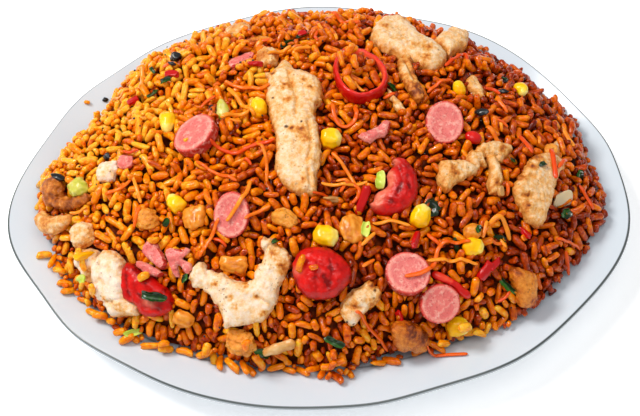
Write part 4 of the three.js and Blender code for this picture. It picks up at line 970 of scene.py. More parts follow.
# Creases of the skin; and pale pink places, each a place and radius: where the skin is gone and the
# meat shows on the curved end, and a painted sheen of the light on the front and left ends.
SKIN_CREASES = {
    "sausage_end_front": [
        [(1, -1.5), (2.5, -6)], [(4, 5), (5, 0), (4, -4)], [(-3, -2), (-2, -6)], [(-1, 4), (3, 2)]],
    "sausage_end_left": [[(-6.5, 8), (-6.5, 3), (-5.5, -1)], [(-1, 0), (5, -3)], [(2, -6), (8, -7)]],
    "sausage_end_curved": [[(1, 7), (2, 2), (-1, -4)], [(4, 4), (5, -3)], [(-6, -6), (-2, -8)]],
}
BARE_MEAT_AND_SHEEN = {
    "sausage_end_front": [(-10, 2, 2)], "sausage_end_left": [(4, -3.5, 2.4)],
    "sausage_end_curved": [
        (-3.5, 3.5, 2.2), (-3.5, 6, 1.6), (-4, 1, 1.8), (-9.5, -6, 2.4), (-8, -3.5, 2), (-11, -7.5, 2),
        (-0.5, 11, 1.5), (-5.5, -2.5, 1.8)],
}


def smoked_end(node_name, thickness, edge, outline, centre, facing, bow, lift):
    """A sausage end with its taut skin, wrinkled from drying in the smoke, pale where the skin is torn on
    the curved end and with a painted sheen on the others.
    """
    piece, places, inward = slab(node_name, thickness, outline, edge, 0.35)
    seed = len(node_name) * 2.3
    creases = sum(np.exp(-(from_lines(places, crease) / 1.1) ** 2) for crease in SKIN_CREASES[node_name])
    # Pale pink places: bare meat on the curved end, a painted sheen on the front and left ends.
    bare_and_sheen = sum(np.exp(-radii_from(places, *spot)) for spot in BARE_MEAT_AND_SHEEN[node_name])
    puckers = 0.5 * waves(places, (3.5, 3.5, 4), seed) + 0.3 * waves(places, (1.3, 1.3, 2), seed + 5)
    torn = bare_and_sheen * 0.6 * waves(places, (1.2, 1.2, 1.2), seed + 9)
    places[:, 2] += np.clip(places[:, 2] * 0.5, 0, 1) * (puckers + torn - 0.7 * creases)
    # The rim value darkens the red towards the edge and in the creases: painted shade.
    set_attribute(piece.data, "rim", np.clip(0.3 + 0.2 * np.exp(-inward / 1.5) + 0.22 * creases, 0, 1))
    set_attribute(piece.data, "bare_and_sheen", np.clip(bare_and_sheen, 0, 1))
    lay_slab(piece, places, centre, facing, bow, lift)
    return piece


# Smoked collagen skin over pink meat: bright red, mottled with darker red, with painted shade that
# darkens it towards its edge and to almost black in the creases, and shiny with oil; pale pink meat
# where the skin is gone, and pale pink as a painted sheen on the front and left ends.
smoked_skin, tree = new_material("smoked_sausage_skin")
place = node(tree, "ShaderNodeTexCoord").outputs["Object"]
rim = node(tree, "ShaderNodeAttribute", attribute_name="rim").outputs["Fac"]
blotch = node(tree, "ShaderNodeTexNoise", {"Vector": place, "Scale": repeats(4.1667), "Detail": 4.0})
shade = node(tree, "ShaderNodeMath", {0: blotch.outputs["Fac"], 1: 0.9, 2: rim}, operation="MULTIPLY_ADD")
red = node(tree, "ShaderNodeValToRGB", {"Fac": shade.outputs[0]}, stops=[
    (0.45, "#e8221c"), (0.7, "#d4120c"), (0.9, "#b40804"), (1.0, "#820402")])
bare_and_sheen = node(tree, "ShaderNodeAttribute", attribute_name="bare_and_sheen").outputs["Fac"]
torn = node(tree, "ShaderNodeMath", {0: blotch.outputs["Fac"], 1: 1.6, 2: bare_and_sheen}, operation="MULTIPLY")
showing = node(tree, "ShaderNodeMath", {0: torn.outputs[0], 1: bare_and_sheen}, operation="MULTIPLY")
skin = node(tree, "ShaderNodeMix", {
    "Factor": showing.outputs[0], 6: red.outputs["Color"], 7: srgb("#ee8064")}, data_type="RGBA")
bump = node(tree, "ShaderNodeBump", {
    "Height": blotch.outputs["Fac"], "Strength": 0.9, "Distance": 1.1 * MM})
shader = node(tree, "ShaderNodeBsdfPrincipled", {
    "Base Color": skin.outputs[2], "Normal": bump.outputs["Normal"], "Roughness": 0.3, "IOR": 1.34,
    "Subsurface Weight": 0.1, "Subsurface Radius": (1.0, 0.15, 0.1), "Subsurface Scale": 1.0 * MM})
node(tree, "ShaderNodeOutputMaterial", {"Surface": shader.outputs[0]})
for node_name, looks in SMOKED_ENDS.items():
    add_topping(smoked_end(node_name, **looks), smoked_skin, "sausage_skin", node_name)

# ---- sweetcorn ----
# Loose kernels from a can: plump, dented on the crown, narrowing to the pale torn foot where each
# sat on the cob.


def corn_kernel(node_name):
    """A kernel: its solid plumped and dented, and paler towards its narrow end."""
    piece = softened(node_name, 0.4 * MM, 6)
    places, normals = arrays_of(piece.data)
    middle, axes = own_axes(places)
    own = (places - middle) @ axes
    seed = middle[0] / MM
    dent = 0.5 * waves(places, (3 * MM,) * 3, seed) - 0.3
    move_out(piece.data, places, normals, (0.85 + dent) * MM)
    along = own[:, 0] / np.abs(own[:, 0]).max()
    wide_end = np.sign((np.abs(own[:, 1]) * along).sum())
    set_attribute(piece.data, "foot", np.clip(-along * wide_end, -1, 1) * 0.4 + 0.36)
    return piece


def cooked_food(name, attribute, cell, detail, share, stops, roughness, ior, glow, relief=None):
    """Cooked food, wet and a little see-through. Its colour follows an attribute of the mesh and a
    share of noise with cells in mm. Glow is the weight, radius and depth in mm of the light inside
    it, and relief the strength and depth in mm of its bumps."""
    made, tree = new_material(name)
    place = node(tree, "ShaderNodeTexCoord").outputs["Object"]
    base = node(tree, "ShaderNodeAttribute", attribute_name=attribute).outputs["Fac"]
    fine = node(tree, "ShaderNodeTexNoise", {"Vector": place, "Scale": repeats(cell), "Detail": detail})
    mixed = node(tree, "ShaderNodeMath", {0: fine.outputs["Fac"], 1: share, 2: base},
                 operation="MULTIPLY_ADD")
    colour = node(tree, "ShaderNodeValToRGB", {"Fac": mixed.outputs[0]}, stops=stops)
    shader = node(tree, "ShaderNodeBsdfPrincipled", {
        "Base Color": colour.outputs["Color"], "Roughness": roughness, "IOR": ior,
        "Subsurface Weight": glow[0], "Subsurface Radius": glow[1], "Subsurface Scale": glow[2] * MM})
    if relief:
        bump = node(tree, "ShaderNodeBump", {
            "Height": fine.outputs["Fac"], "Strength": relief[0], "Distance": relief[1] * MM})
        tree.links.new(bump.outputs["Normal"], shader.inputs["Normal"])
    node(tree, "ShaderNodeOutputMaterial", {"Surface": shader.outputs[0]})
    return made


# Boiled sweetcorn: a tight, glossy, slightly see-through yellow hull, paler at the foot.
corn_hull = cooked_food(
    "sweetcorn_hull", "foot", cell=2.857, detail=1.0, share=0.5,
    stops=[(0.2, "#fcae00"), (0.75, "#ffcc08"), (1.0, "#ffe680")],
    roughness=0.22, ior=1.4, glow=(0.4, (1.0, 0.8, 0.15), 2.0))
for number in range(1, 11):
    add_topping(corn_kernel(f"corn_kernel_{number}"), corn_hull, "corn", f"corn_kernel_{number}")

# ---- red pepper ----
# A ring, a strip and a bit of red pepper, cut about 2.5 mm wide: waxy skin outside, wet flesh inside.
PEPPER_LIFT = 1.2 * MM  # over the rice


def pepper_cut(node_name, deeper, lift):
    """A cut of pepper as its solid, made deeper across its own plane by a factor and lifted."""
    piece = softened(node_name, 0.4 * MM, 6, 1)
    places, normals = arrays_of(piece.data)
    middle, _ = own_axes(places)
    seed = middle[0] / MM
    move_out(piece.data, places, normals, (0.55 + 0.3 * waves(places, (3 * MM,) * 3, seed)) * MM)
    if deeper > 1:
        slope = np.linalg.lstsq(np.c_[places[:, :2], np.ones(len(places))], places[:, 2], rcond=None)[0]
        moved = arrays_of(piece.data)[0]
        moved[:, 2] += (deeper - 1) * (moved[:, 2] - np.c_[moved[:, :2], np.ones(len(moved))] @ slope)
        piece.data.vertices.foreach_set("co", moved.ravel())
    piece.data.transform(Matrix.Translation((0, 0, lift)))
    outward = (normals[:, :2] * (places - middle)[:, :2]).sum(1)
    reach = np.linalg.norm((places - middle)[:, :2], axis=1)
    set_attribute(piece.data, "inside", np.clip(0.5 - 0.5 * outward / reach, 0, 1))
    return piece


# Fried red pepper: deep red waxy skin with sharp highlights, and lighter, pinker flesh inside.
pepper_flesh = cooked_food(
    "red_pepper", "inside", cell=3.333, detail=2.0, share=0.5,
    stops=[(0.25, "#be0a0a"), (0.7, "#dc1c14"), (1.0, "#ee5232")],
    roughness=0.2, ior=1.45, glow=(0.15, (1.0, 0.2, 0.1), 1.0))
for node_name, deeper in (("pepper_ring", 1.8), ("pepper_strip", 1), ("pepper_bit", 1)):
    add_topping(pepper_cut(node_name, deeper, PEPPER_LIFT), pepper_flesh, "pepper", node_name)

# ---- onion and leek ----
# Squares and slivers of onion, cooked soft and stained orange by the sauce, and two pieces of the
# pale green part of a leek.


def cooked_cut(node_name):
    """A soft cut of onion or leek: its solid with the ridges of its layers."""
    piece = softened(node_name, 0.45 * MM, 4)
    places, normals = arrays_of(piece.data)
    middle, axes = own_axes(places)
    own = (places - middle) @ axes
    seed = middle[0] / MM
    layers = 0.45 * waves(own, (6 * MM, 1.8 * MM, 1.8 * MM), seed)
    layers = layers + 0.9 * waves(places, (4.5 * MM,) * 3, seed + 6)
    move_out(piece.data, places, normals, (0.3 + layers) * MM)
    set_attribute(piece.data, "layer", 0.275 + 0.275 * waves(own, (8 * MM, 1.6 * MM, 1.6 * MM), seed + 2))
    return piece


def cooked_vegetable(name, stops):
    """Soft cooked vegetable: see-through layers, wet and shiny."""
    return cooked_food(name, "layer", cell=2.222, detail=3.0, share=0.495, stops=stops,
                       roughness=0.25, ior=1.4, glow=(0.4, (1.0, 0.7, 0.4), 2.0), relief=(0.5, 0.6))


# Onion braised in the sauce: amber, see-through, wet.
glazed_onion = cooked_vegetable("glazed_onion", [(0.25, "#b0540a"), (0.5, "#e0861a"), (0.8, "#f2ae48")])
# A shard of onion that took up little sauce: straw-coloured.
straw_onion = cooked_vegetable("straw_onion", [(0.25, "#b87028"), (0.5, "#d8a05a"), (0.85, "#ecd09c")])
# Leek between the white and the green: pale yellow-green, with lime edges.
pale_leek = cooked_vegetable("pale_leek", [(0.2, "#8e9c18"), (0.5, "#c9c24a"), (0.85, "#e6dc98")])
for node_name in ("onion_piece_left", "onion_piece_crook", "onion_piece_round", "onion_piece_middle",
                  "onion_piece_right"):
    add_topping(cooked_cut(node_name), glazed_onion, "onion", node_name)
add_topping(cooked_cut("onion_piece_front"), straw_onion, "onion", "onion_piece_front")
for node_name in ("leek_cube", "leek_wedge"):
    add_topping(cooked_cut(node_name), pale_leek, "leek", node_name)

# ---- rice grains ----
# Boiled long-grain rice, fried with soy and tomato: whole grains 7 to 10.5 mm long with blunt ends,
# and many broken ones. The grains lie as they fell: each is laid where the heap is still lowest,
# turned to nestle between those under it, until the heap has its outline.
rng = np.random.default_rng(7)
WHOLE_GRAIN = (7.2 * MM, 10.4 * MM)
BROKEN_GRAIN = (4.2 * MM, 6.8 * MM)
BROKEN_SHARE = 0.16
CRUMB = (3.0 * MM, 5.2 * MM)  # bits of grain that fill the gaps
GRAIN_WIDTH = (3.0 * MM, 4.0 * MM)
TOPPING_CLEAR = 0.4 * MM  # grains stay this far below the top of a topping that lies on them
PROUD = 1.5 * MM  # a grain may stand this far above the heap's outline
STEEPEST = 1.9  # slope that a grain can lie on
GRAIN_LIMIT = 11000

topping_top = height_map(toppings)
ground = np.maximum(height_map([heap_core]), porcelain_top)
surface = ground.copy()
slope_x, slope_y = np.gradient(blurred(rice_level, 3), CELL)
upright = 1 / np.sqrt(1 + slope_x ** 2 + slope_y ** 2)
REACH_CELLS = 9  # from the middle of a grain, round which the heap is looked at
offset_x, offset_y = np.meshgrid(np.arange(-REACH_CELLS, REACH_CELLS + 1) * CELL,
                                 np.arange(-REACH_CELLS, REACH_CELLS + 1) * CELL, indexing="ij")


# A grain rests on what is under two parts of it, one on each side of its middle: the shares of its
# half length between which they lie, the distance between their middles, and their half width.
BEARING_FROM, BEARING_TO, BEARING_SPAN, BEARING_WIDTH = 0.25, 0.95, 1.2, 0.75


def resting(i, j, yaw, half_length, half_width):
    """Height, slope and upper surface of a grain let down on the heap at a cell, turned by yaw."""
    patch = (slice(i - REACH_CELLS, i + REACH_CELLS + 1), slice(j - REACH_CELLS, j + REACH_CELLS + 1))
    along = offset_x * math.cos(yaw) + offset_y * math.sin(yaw)
    across = offset_y * math.cos(yaw) - offset_x * math.sin(yaw)
    below = surface[patch]
    strip = np.abs(across) < half_width * BEARING_WIDTH
    ends = [below[strip & (side * along > BEARING_FROM * half_length)
                  & (side * along < BEARING_TO * half_length)].mean() for side in (1, -1)]
    slope = np.clip((ends[0] - ends[1]) / (BEARING_SPAN * half_length), -STEEPEST, STEEPEST)
    tilt = math.atan(slope)
    round_part = 1 - (np.abs(along) / (half_length * math.cos(tilt))) ** 3 - (across / half_width) ** 2
    inside = round_part > 0
    thick = half_width / math.cos(tilt) * np.sqrt(np.where(inside, round_part, 0))
    level = along * slope
    height = np.where(inside, below - level + thick, -1).max()
    top = np.where(inside, height + level + thick, -1)
    return height, tilt, patch, top


grains = []
ROUNDEST = 0.65  # width of a grain, at most, as a share of its length
HIDDEN_CELLS = 3  # of a grain that may reach into a topping


def lay_grain(i, j, yaws, length, proud=PROUD, loose=False):
    """Lays one grain at a cell, in the best of some directions. False if none lies low enough, or
    if it would come out through a topping, unless it is to lie loose on it."""
    half_length = length / 2
    half_width = min(rng.uniform(*GRAIN_WIDTH) / 2, half_length * ROUNDEST)
    tries = [(*resting(i, j, yaw, half_length, half_width), yaw) for yaw in yaws]
    height, tilt, patch, top, yaw = min(tries, key=lambda each: each[0])
    if height > rice_level[i, j] + (proud - half_width) / upright[i, j] + half_width:
        return False
    over = topping_top[patch]
    if not loose and ((top > over - TOPPING_CLEAR) & (over > 0) & (top > 0)).sum() > HIDDEN_CELLS:
        return False
    surface[patch] = np.maximum(surface[patch], top)
    grains.append((map_x[i], map_y[j], height, yaw, tilt, half_length, half_width))
    return True


inner = np.zeros_like(on_heap)
inner[REACH_CELLS:-REACH_CELLS, REACH_CELLS:-REACH_CELLS] = True
LEAST_GAP, LEAST_CRUMB_GAP = 0.5 * MM, 0.9 * MM  # under the heap's outline, that takes a grain
has_rice = (rice_level > porcelain_top + LEAST_GAP) & (porcelain_top > 0)
open_rows, open_columns = np.nonzero(has_rice & inner)
PICKS = 50  # places looked at for each grain
IDLE_LIMIT = 120  # looks in a row that find no gap


def fill(kinds, least_gap, directions):
    """Lays grains where the heap is lowest, until no gap that one fits in is left. Each kind is its
    share and its lengths."""
    is_open = np.ones(on_heap.shape, bool)
    idle = 0
    while len(grains) < GRAIN_LIMIT and idle < IDLE_LIMIT:
        picks = rng.integers(0, len(open_rows), PICKS)
        rows, columns = open_rows[picks], open_columns[picks]
        gap = (rice_level[rows, columns] - surface[rows, columns]) * upright[rows, columns]
        gap[~is_open[rows, columns]] = 0
        best = int(np.argmax(gap))
        lengths = kinds[0 if rng.random() < kinds[0][0] else -1][1]
        if gap[best] < least_gap:
            idle += 1
        elif not lay_grain(rows[best], columns[best], rng.uniform(0, math.pi, directions),
                           rng.uniform(*lengths)):
            is_open[rows[best] - 1:rows[best] + 2, columns[best] - 1:columns[best] + 2] = False


fill([(BROKEN_SHARE, BROKEN_GRAIN), (1, WHOLE_GRAIN)], LEAST_GAP, directions=5)
fill([(1, CRUMB)], LEAST_CRUMB_GAP, directions=3)

# Grains that dropped on toppings or lie loose on the porcelain: place in mm, heading, length.
STRAYS = [
    (-132, -27, 10, 7.5), (-124, -38, 150, 7), (-118, -39, 100, 7), (-93, -76, 20, 8.5), (-96, -73, 0, 6),
    (-58, -85, 80, 7), (-57, -87, 60, 6), (-39, -93, 60, 6), (-34, -95, -35, 9), (49, -91, 10, 6),
    (-113, 63, 0, 3.2), (-76, -81, 15, 6), (-4, -99, 0, 6), (1, -99, 10, 6.5), (-1, -97, 90, 5),
    (-2, -101, 30, 5), (-13, -71, 55, 8), (-8, -74, 0, 4), (-82, -61, 20, 6), (-77, -47, 20, 6),
    (38, -59, 60, 6), (-110, -49, 100, 7), (-106, -60, 100, 7.5), (-112, -43, 80, 7), (66, -88, 0, 7),
    (58, -90, 20, 7), (15, 34, 70, 8), (14, 29, 100, 8), (16, 24, 60, 7.5), (17, 18, 130, 8),
    (19, 37, 20, 7), (20, 27, 95, 8), (18, 31, 40, 7),
]
ANY_HEIGHT = 1.0
surface = np.maximum(surface, topping_top)
for x, y, heading, length in STRAYS:
    lay_grain(*cell_of(x * MM, y * MM), [math.radians(heading)], length * MM, ANY_HEIGHT, loose=True)

# Kinds of grain: how far it bends, how blunt and how flat it is, and how lumpy.
GRAIN_KINDS = {
    "rice_grains_straight": (0.0, 4.8, 0.92, 0.12), "rice_grains_curved": (0.14, 4.6, 0.9, 0.16),
    "rice_grains_bent": (-0.26, 4.4, 0.95, 0.16), "rice_grains_plump": (0.05, 5.2, 1.05, 0.24),
    "rice_grains_slim": (0.1, 3.8, 0.78, 0.14), "rice_grains_split": (-0.06, 4.8, 0.85, 0.36),
}


def grain_form(bend, blunt, flat, lumpy, seed):
    """One grain, 2 long and 2 wide before it is sized, with 48 faces."""
    form = bmesh.new()
    bmesh.ops.create_uvsphere(form, u_segments=8, v_segments=6, radius=1)
    bmesh.ops.rotate(form, matrix=Matrix.Rotation(math.pi / 2, 3, "Y"), verts=form.verts)
    for vertex in form.verts:
        radius = math.hypot(vertex.co.y, vertex.co.z)
        vertex.co.x = math.copysign(abs(vertex.co.x) ** 0.6, vertex.co.x)
        fuller = (1 - abs(vertex.co.x) ** blunt) ** 0.5 / radius if radius > 1e-6 else 0
        vertex.co.y *= fuller
        vertex.co.z *= fuller * flat
        vertex.co *= 1 + lumpy * noise.noise(vertex.co * 1.3 + Vector((seed, 0, 0)))
        vertex.co.z += bend * 2.5 * (0.4 - vertex.co.x ** 2)
    mesh = bpy.data.meshes.new("grain")
    form.to_mesh(mesh)
    form.free()
    places, _ = arrays_of(mesh)
    faces = [list(face.vertices) for face in mesh.polygons]
    bpy.data.meshes.remove(mesh)
    return places, faces


def joined_copies(name, places, faces, matrices, tones):
    """Many copies of one small shape as a single mesh, each with its own tone."""
    count = len(places)
    turned = np.einsum("nij,vj->nvi", matrices[:, :3, :3], places) + matrices[:, None, :3, 3]
    mesh = bpy.data.meshes.new(name)
    loops = np.concatenate([np.array([v for face in faces for v in face]) + n * count
                            for n in range(len(matrices))])
    sizes = np.tile([len(face) for face in faces], len(matrices))
    mesh.vertices.add(len(matrices) * count)
    mesh.vertices.foreach_set("co", turned.ravel())
    mesh.loops.add(len(loops))
    mesh.loops.foreach_set("vertex_index", loops)
    mesh.polygons.add(len(sizes))
    mesh.polygons.foreach_set("loop_start", np.concatenate([[0], np.cumsum(sizes)[:-1]]))
    mesh.update(calc_edges=True)
    mesh.shade_smooth()
    set_attribute(mesh, "tone", np.repeat(tones, count))
    made = bpy.data.objects.new(name, mesh)
    bpy.context.scene.collection.objects.link(made)
    return made


EVEN_ROCK, UNEVEN_ROCK, UNEVEN_SHARE = 0.12, 0.45, 0.12  # spread of the tilt, in radians


def grain_matrix(grain):
    """Size and place of a grain, rolled at random and rocked a little, a few of them more."""
    x, y, height, yaw, tilt, half_length, half_width = grain
    roll = rng.uniform(0, math.tau)
    rock = rng.normal(0, UNEVEN_ROCK if rng.random() < UNEVEN_SHARE else EVEN_ROCK)
    turned = (Matrix.Translation((x, y, height)) @ Matrix.Rotation(yaw, 4, "Z")
              @ Matrix.Rotation(rock - tilt, 4, "Y") @ Matrix.Rotation(roll, 4, "X"))
    return np.array(turned @ Matrix.Diagonal((half_length, half_width, half_width, 1)))


# Fried rice: each grain has its own tone, from golden to reddish brown, with painted shade on those
# that lie deep, and the oil on it throws small sharp highlights; a grain lets some light through.
STAIN_SHARE = 0.9
fried_rice = cooked_food(
    "fried_rice", "tone", cell=2.381, detail=2.0, share=STAIN_SHARE,
    stops=[(0.0, "#641400"), (0.3, "#b03c00"), (0.6, "#e67200"), (0.85, "#f69206"), (1.0, "#fdb42c")],
    roughness=0.15, ior=1.38, glow=(0.6, (1.0, 0.35, 0.05), 3.0), relief=(0.8, 0.8))

kinds = rng.choice(len(GRAIN_KINDS), len(grains))
spots = np.array([grain[:3] for grain in grains])


def ramp(values, start, end):
    """0 up to the start, 1 from the end on."""
    return np.clip((values - start) / (end - start), 0, 1)


# How light each grain is. The rice is browner towards the right and in the middle, and lighter at
# the left end, at the foot in front and at the left of the back; the sauce also clings to some
# clumps more than to others. Places in mm.
x, y, _ = spots.T / MM
grain_lightness = 0.64 + 0.08 * y * MM / MAP_HALF.y - 0.15 * x * MM / MAP_HALF.x
grain_lightness += 0.18 * ramp(-y, 72, 87) + 0.24 * ramp(x, 40, 60) * ramp(-y, 69, 84)
grain_lightness += 0.19 * ramp(-x, 48, 88) + 0.14 * ramp(-x, 0, 30) * ramp(y, 0, 30)
grain_lightness -= 0.16 * ramp(x, 0, 80) * ramp(y, -12, 28)
grain_lightness -= 0.18 * np.exp(-((x - 8) / 40) ** 2 - ((y + 32) / 36) ** 2)
grain_lightness += 0.16 * waves(spots, (16 * MM,) * 3, 5) + 0.12 * waves(spots, (7 * MM,) * 3, 9)
# Grains that lie deep, and the small bits between them, are darker: partly soaked in the sauce,
# partly painted shade of the gaps in the heap.
lengths = np.array([grain[5] * 2 for grain in grains])
depths = np.array([rice_level[cell_of(x, y)] - z for x, y, z in spots])
SHADE_DEPTH = 3.5 * MM
TONE_SPREAD = 0.11
grain_lightness -= 0.4 * np.clip(depths / SHADE_DEPTH, 0, 1) + 0.24 * (lengths < CRUMB[1])
tones = np.clip(rng.normal(grain_lightness, TONE_SPREAD), 0.02, 0.98)
for number, (name, looks) in enumerate(GRAIN_KINDS.items()):
    chosen = np.nonzero(kinds == number)[0]
    places, faces = grain_form(*looks, number * 7.3)
    matrices = np.array([grain_matrix(grains[index]) for index in chosen])
    # The noise of the stains is 0.5 on average, so half their share comes off the tone.
    made = joined_copies(name, places, faces, matrices, tones[chosen] - STAIN_SHARE / 2)
    hand_over(made, fried_rice, "rice", "rice_heap")

# ---- carrot shreds ----
# Carrot grated into strings, 2 to 3 mm wide and 1.5 mm thick, fried limp with the rice. They lie on
# top of it in loose curves, the ones that show in the photo and some short ones at random.
lying = np.maximum(surface, topping_top)
SHRED_STEP = 1.3 * MM
SHRED_THICKNESS = 1.5 * MM
SWOLLEN = 1.2  # how much wider a shred is than in the list
TAPERED = 0.55  # size of its ends, as a share of the rest
UNEVEN_WIDTH = (0.88, 1.08)
TWIST = 0.15  # spread of its turn at each step, in radians
LEANING = 0.35  # how far it leans over as it turns, in radians
# Each shred: its width in mm, then the places it passes over, in mm from the platter's middle.
SHREDS = [
    (1.9, (-49, -6), (-38, -12), (-28, -9), (-20, -9)), (1.7, (-28, -9), (-24, -18), (-25, -29)),
    (1.6, (-56, -14), (-48, -22), (-38, -29)), (2.0, (-44, 7), (-37, 10), (-30, 11)),
    (1.9, (-41, 31), (-31, 25), (-20, 22)), (2.2, (-40, 29), (-33, 17), (-28, 8)),
    (2.4, (-82, 67), (-82, 46)), (2.1, (8, 11), (8, 0), (14, -3), (19, 2), (18, 8)),
    (1.9, (65, 37), (72, 44), (78, 50), (77, 43)), (1.9, (54, 21), (60, 25), (67, 29)),
    (2.2, (79, 0), (85, -9)), (2.2, (95, -3), (99, -15)), (1.8, (87, 16), (91, 8)),
    (2.2, (120, 9), (124, -1)), (2.3, (109, -10), (108, -28)), (2.1, (110, -22), (117, -13)),
    (2.0, (122, -23), (128, -33)), (1.7, (5, -17), (12, -26), (16, -37)),
    (1.7, (-1, -31), (10, -34), (20, -32)), (1.7, (7, -36), (12, -31), (17, -37), (12, -42)),
    (2.3, (73, -51), (79, -47), (83, -55)), (1.9, (69, -58), (72, -50)),
    (1.8, (20, -52), (28, -50), (37, -53)), (2.0, (106, -51), (120, -49)), (2.0, (111, -53), (113, -60)),
    (1.9, (41, -95), (50, -95), (60, -96)), (2.0, (9, -87), (18, -89), (24, -93)),
    (2.0, (-57, -58), (-52, -51), (-47, -45)), (1.7, (-36, -47), (-30, -43), (-24, -41)),
    (2.0, (-86, -37), (-82, -27)), (1.9, (-117, -19), (-108, -20)), (1.7, (-99, -19), (-86, -16)),
    (1.8, (-86, -12), (-82, -28)), (2.0, (-32, -28), (-35, -38), (-44, -47)),
    (2.1, (32, -74), (42, -73), (47, -67), (48, -61), (55, -58), (63, -61)),
    (2.0, (43, -67), (54, -66), (66, -68)), (1.9, (-98, 52), (-94, 46), (-88, 47)),
    (2.0, (14, 81), (19, 76), (23, 69), (28, 70)), (1.8, (-20, 44), (-8, 50)),
    (1.9, (-71, 52), (-64, 50)), (1.9, (-26, 60), (-16, 60)), (1.7, (14, -62), (21, -56)),
]
RANDOM_SHREDS = 28
RANDOM_WIDTHS = (1.4, 1.9)
RANDOM_HALF_LENGTHS = (2.5, 5)


def level(x, y, reach=1.2 * MM, share=0.75):
    """How high the food lies about a place."""
    i, j = cell_of(x, y)
    cells = round(reach / CELL)
    return float(np.quantile(lying[i - cells:i + cells + 1, j - cells:j + cells + 1], share))


def smooth_path(points, step):
    """A rounded path through some points, in even steps."""
    for _ in range(3):
        cut = [points[0]]
        for first, second in zip(points, points[1:]):
            cut += [first.lerp(second, 0.25), first.lerp(second, 0.75)]
        points = [*cut, points[-1]]
    along = np.cumsum([0] + [(b - a).length for a, b in zip(points, points[1:])])
    stops = np.linspace(0, along[-1], max(3, round(along[-1] / step)))
    return [Vector([np.interp(stop, along, [p[axis] for p in points]) for axis in range(len(points[0]))])
            for stop in stops]


def shred_rings(points, width, thickness, sides=6):
    """Rings of a limp flat strip laid over the food along some plan places."""
    path = smooth_path([Vector(point) * MM for point in points], SHRED_STEP)
    levels = np.array([level(*point) for point in path])
    padded = np.pad(levels, 2, "edge")
    stiff = np.array([padded[n:n + 5].mean() for n in range(len(levels))])
    rise = np.maximum(stiff, levels - 0.2 * MM) + thickness * 0.6
    spots = [Vector((point.x, point.y, height)) for point, height in zip(path, rise)]
    turn = rng.uniform(0, math.tau)
    rings = []
    for n, spot in enumerate(spots):
        forward = (spots[min(n + 1, len(spots) - 1)] - spots[max(n - 1, 0)]).normalized()
        aside = forward.cross((0, 0, 1)).normalized()
        top = aside.cross(forward)
        turn += rng.normal(0, TWIST)
        end = TAPERED if n in (0, len(spots) - 1) else 1
        half_width = width / 2 * end * rng.uniform(*UNEVEN_WIDTH)
        half_thick = thickness / 2 * end
        ring = []
        for side in range(sides):
            angle = side / sides * math.tau
            flat = Matrix.Rotation(LEANING * math.sin(turn), 2) @ Vector(
                (math.cos(angle) * half_width, math.sin(angle) * half_thick))
            ring.append(spot + aside * flat.x + top * flat.y)
        rings.append(ring)
    return rings


shred_form = bmesh.new()
tone_layer = shred_form.verts.layers.float.new("tone")
shreds = [(width, points) for width, *points in SHREDS]
heap_cells = np.argwhere(on_heap)
while len(shreds) < len(SHREDS) + RANDOM_SHREDS:
    i, j = heap_cells[rng.integers(len(heap_cells))]
    start = Vector((map_x[i], map_y[j])) / MM
    heading = Matrix.Rotation(rng.uniform(0, math.tau), 2) @ Vector((rng.uniform(*RANDOM_HALF_LENGTHS), 0))
    middle = start + heading
    finish = middle + Matrix.Rotation(rng.normal(0, 0.5), 2) @ heading
    passed = [cell_of(*(place * MM)) for place in (start, middle, finish)]
    if all(on_heap[cell] and topping_top[cell] < 0 for cell in passed):
        shreds.append((rng.uniform(*RANDOM_WIDTHS), [start, middle, finish]))
for width, points in shreds:
    tone = rng.uniform(0, 1)
    for ring in lofted(shred_form, shred_rings(points, width * SWOLLEN * MM, SHRED_THICKNESS)):
        for vertex in ring:
            vertex[tone_layer] = tone
carrot_shreds = rounded(object_from(shred_form, "carrot_shreds"), 1)

# Carrot fried soft: bright orange, some strings redder, see-through and shiny with oil.
fried_carrot = cooked_food(
    "fried_carrot", "tone", cell=3.333, detail=2.0, share=0.5,
    stops=[(0.2, "#dc4204"), (0.7, "#f06a0c"), (1.0, "#f8941e")],
    roughness=0.25, ior=1.4, glow=(0.3, (1.0, 0.35, 0.08), 1.2))
hand_over(carrot_shreds, fried_carrot, "rice", "rice_heap")

# ---- green leek leaves ----
# Bits of the green of a leek, about 0.5 mm thick, cut small and fried dark and soft, and thicker
# bits of its pale part. They lie crumpled on the rice and on the toppings.
# Each bit, in mm and degrees: place, length, width, heading, and how much it curls up.
LEEK_LEAVES = [
    (-10, 56, 8, 4, 25, 0.5), (-2, 59, 8, 4, 35, 0.8), (-76, 39, 6.5, 4, 30, 0.4),
    (-69, 42, 7, 3.6, 20, 0.6), (-76, 54, 5, 2.4, 120, 0.6), (48, -44, 9, 8.5, 60, 0.35),
    (36, 20, 7, 3, 150, 0.9), (77, -54, 9, 3.6, -15, 0.5), (57, -58, 8, 3, 100, 0.7),
    (112, -39, 7, 6, 40, 0.5), (81, -73, 11, 4.4, 105, 0.7), (-33, -92, 7.5, 5, -20, 0.5),
    (0, -92, 10, 4.2, -50, 0.6), (-64, -63, 5, 3, 60, 0.5), (-71, -40, 5, 4, 80, 0.6),
    (94, 32, 4, 3, 10, 0.6), (124, -16, 5, 4, 70, 0.5), (12, 111, 4.5, 3.4, 20, 0.6),
    (-78, -69, 12, 5.5, -18, 0.7), (102, -22, 4, 3, 20, 0.5), (67, -55, 5, 3, 80, 0.5),
    (88, -20, 4, 3, 10, 0.6), (-24, -58, 3.6, 2.4, 30, 0.3),
]
PALE_LEAVES = [
    (26, -32, 9, 5.4, 80, 0.5), (17, -54, 8.6, 4.6, 75, 0.4), (-111, -52, 5.5, 4.5, 30, 0.5),
    (-90, -74, 9, 4, 5, 0.6),
]
LEAF_LIFT = 0.9 * MM
LEAF_THICKNESS = 0.5 * MM
PALE_THICKNESS = 1.2 * MM


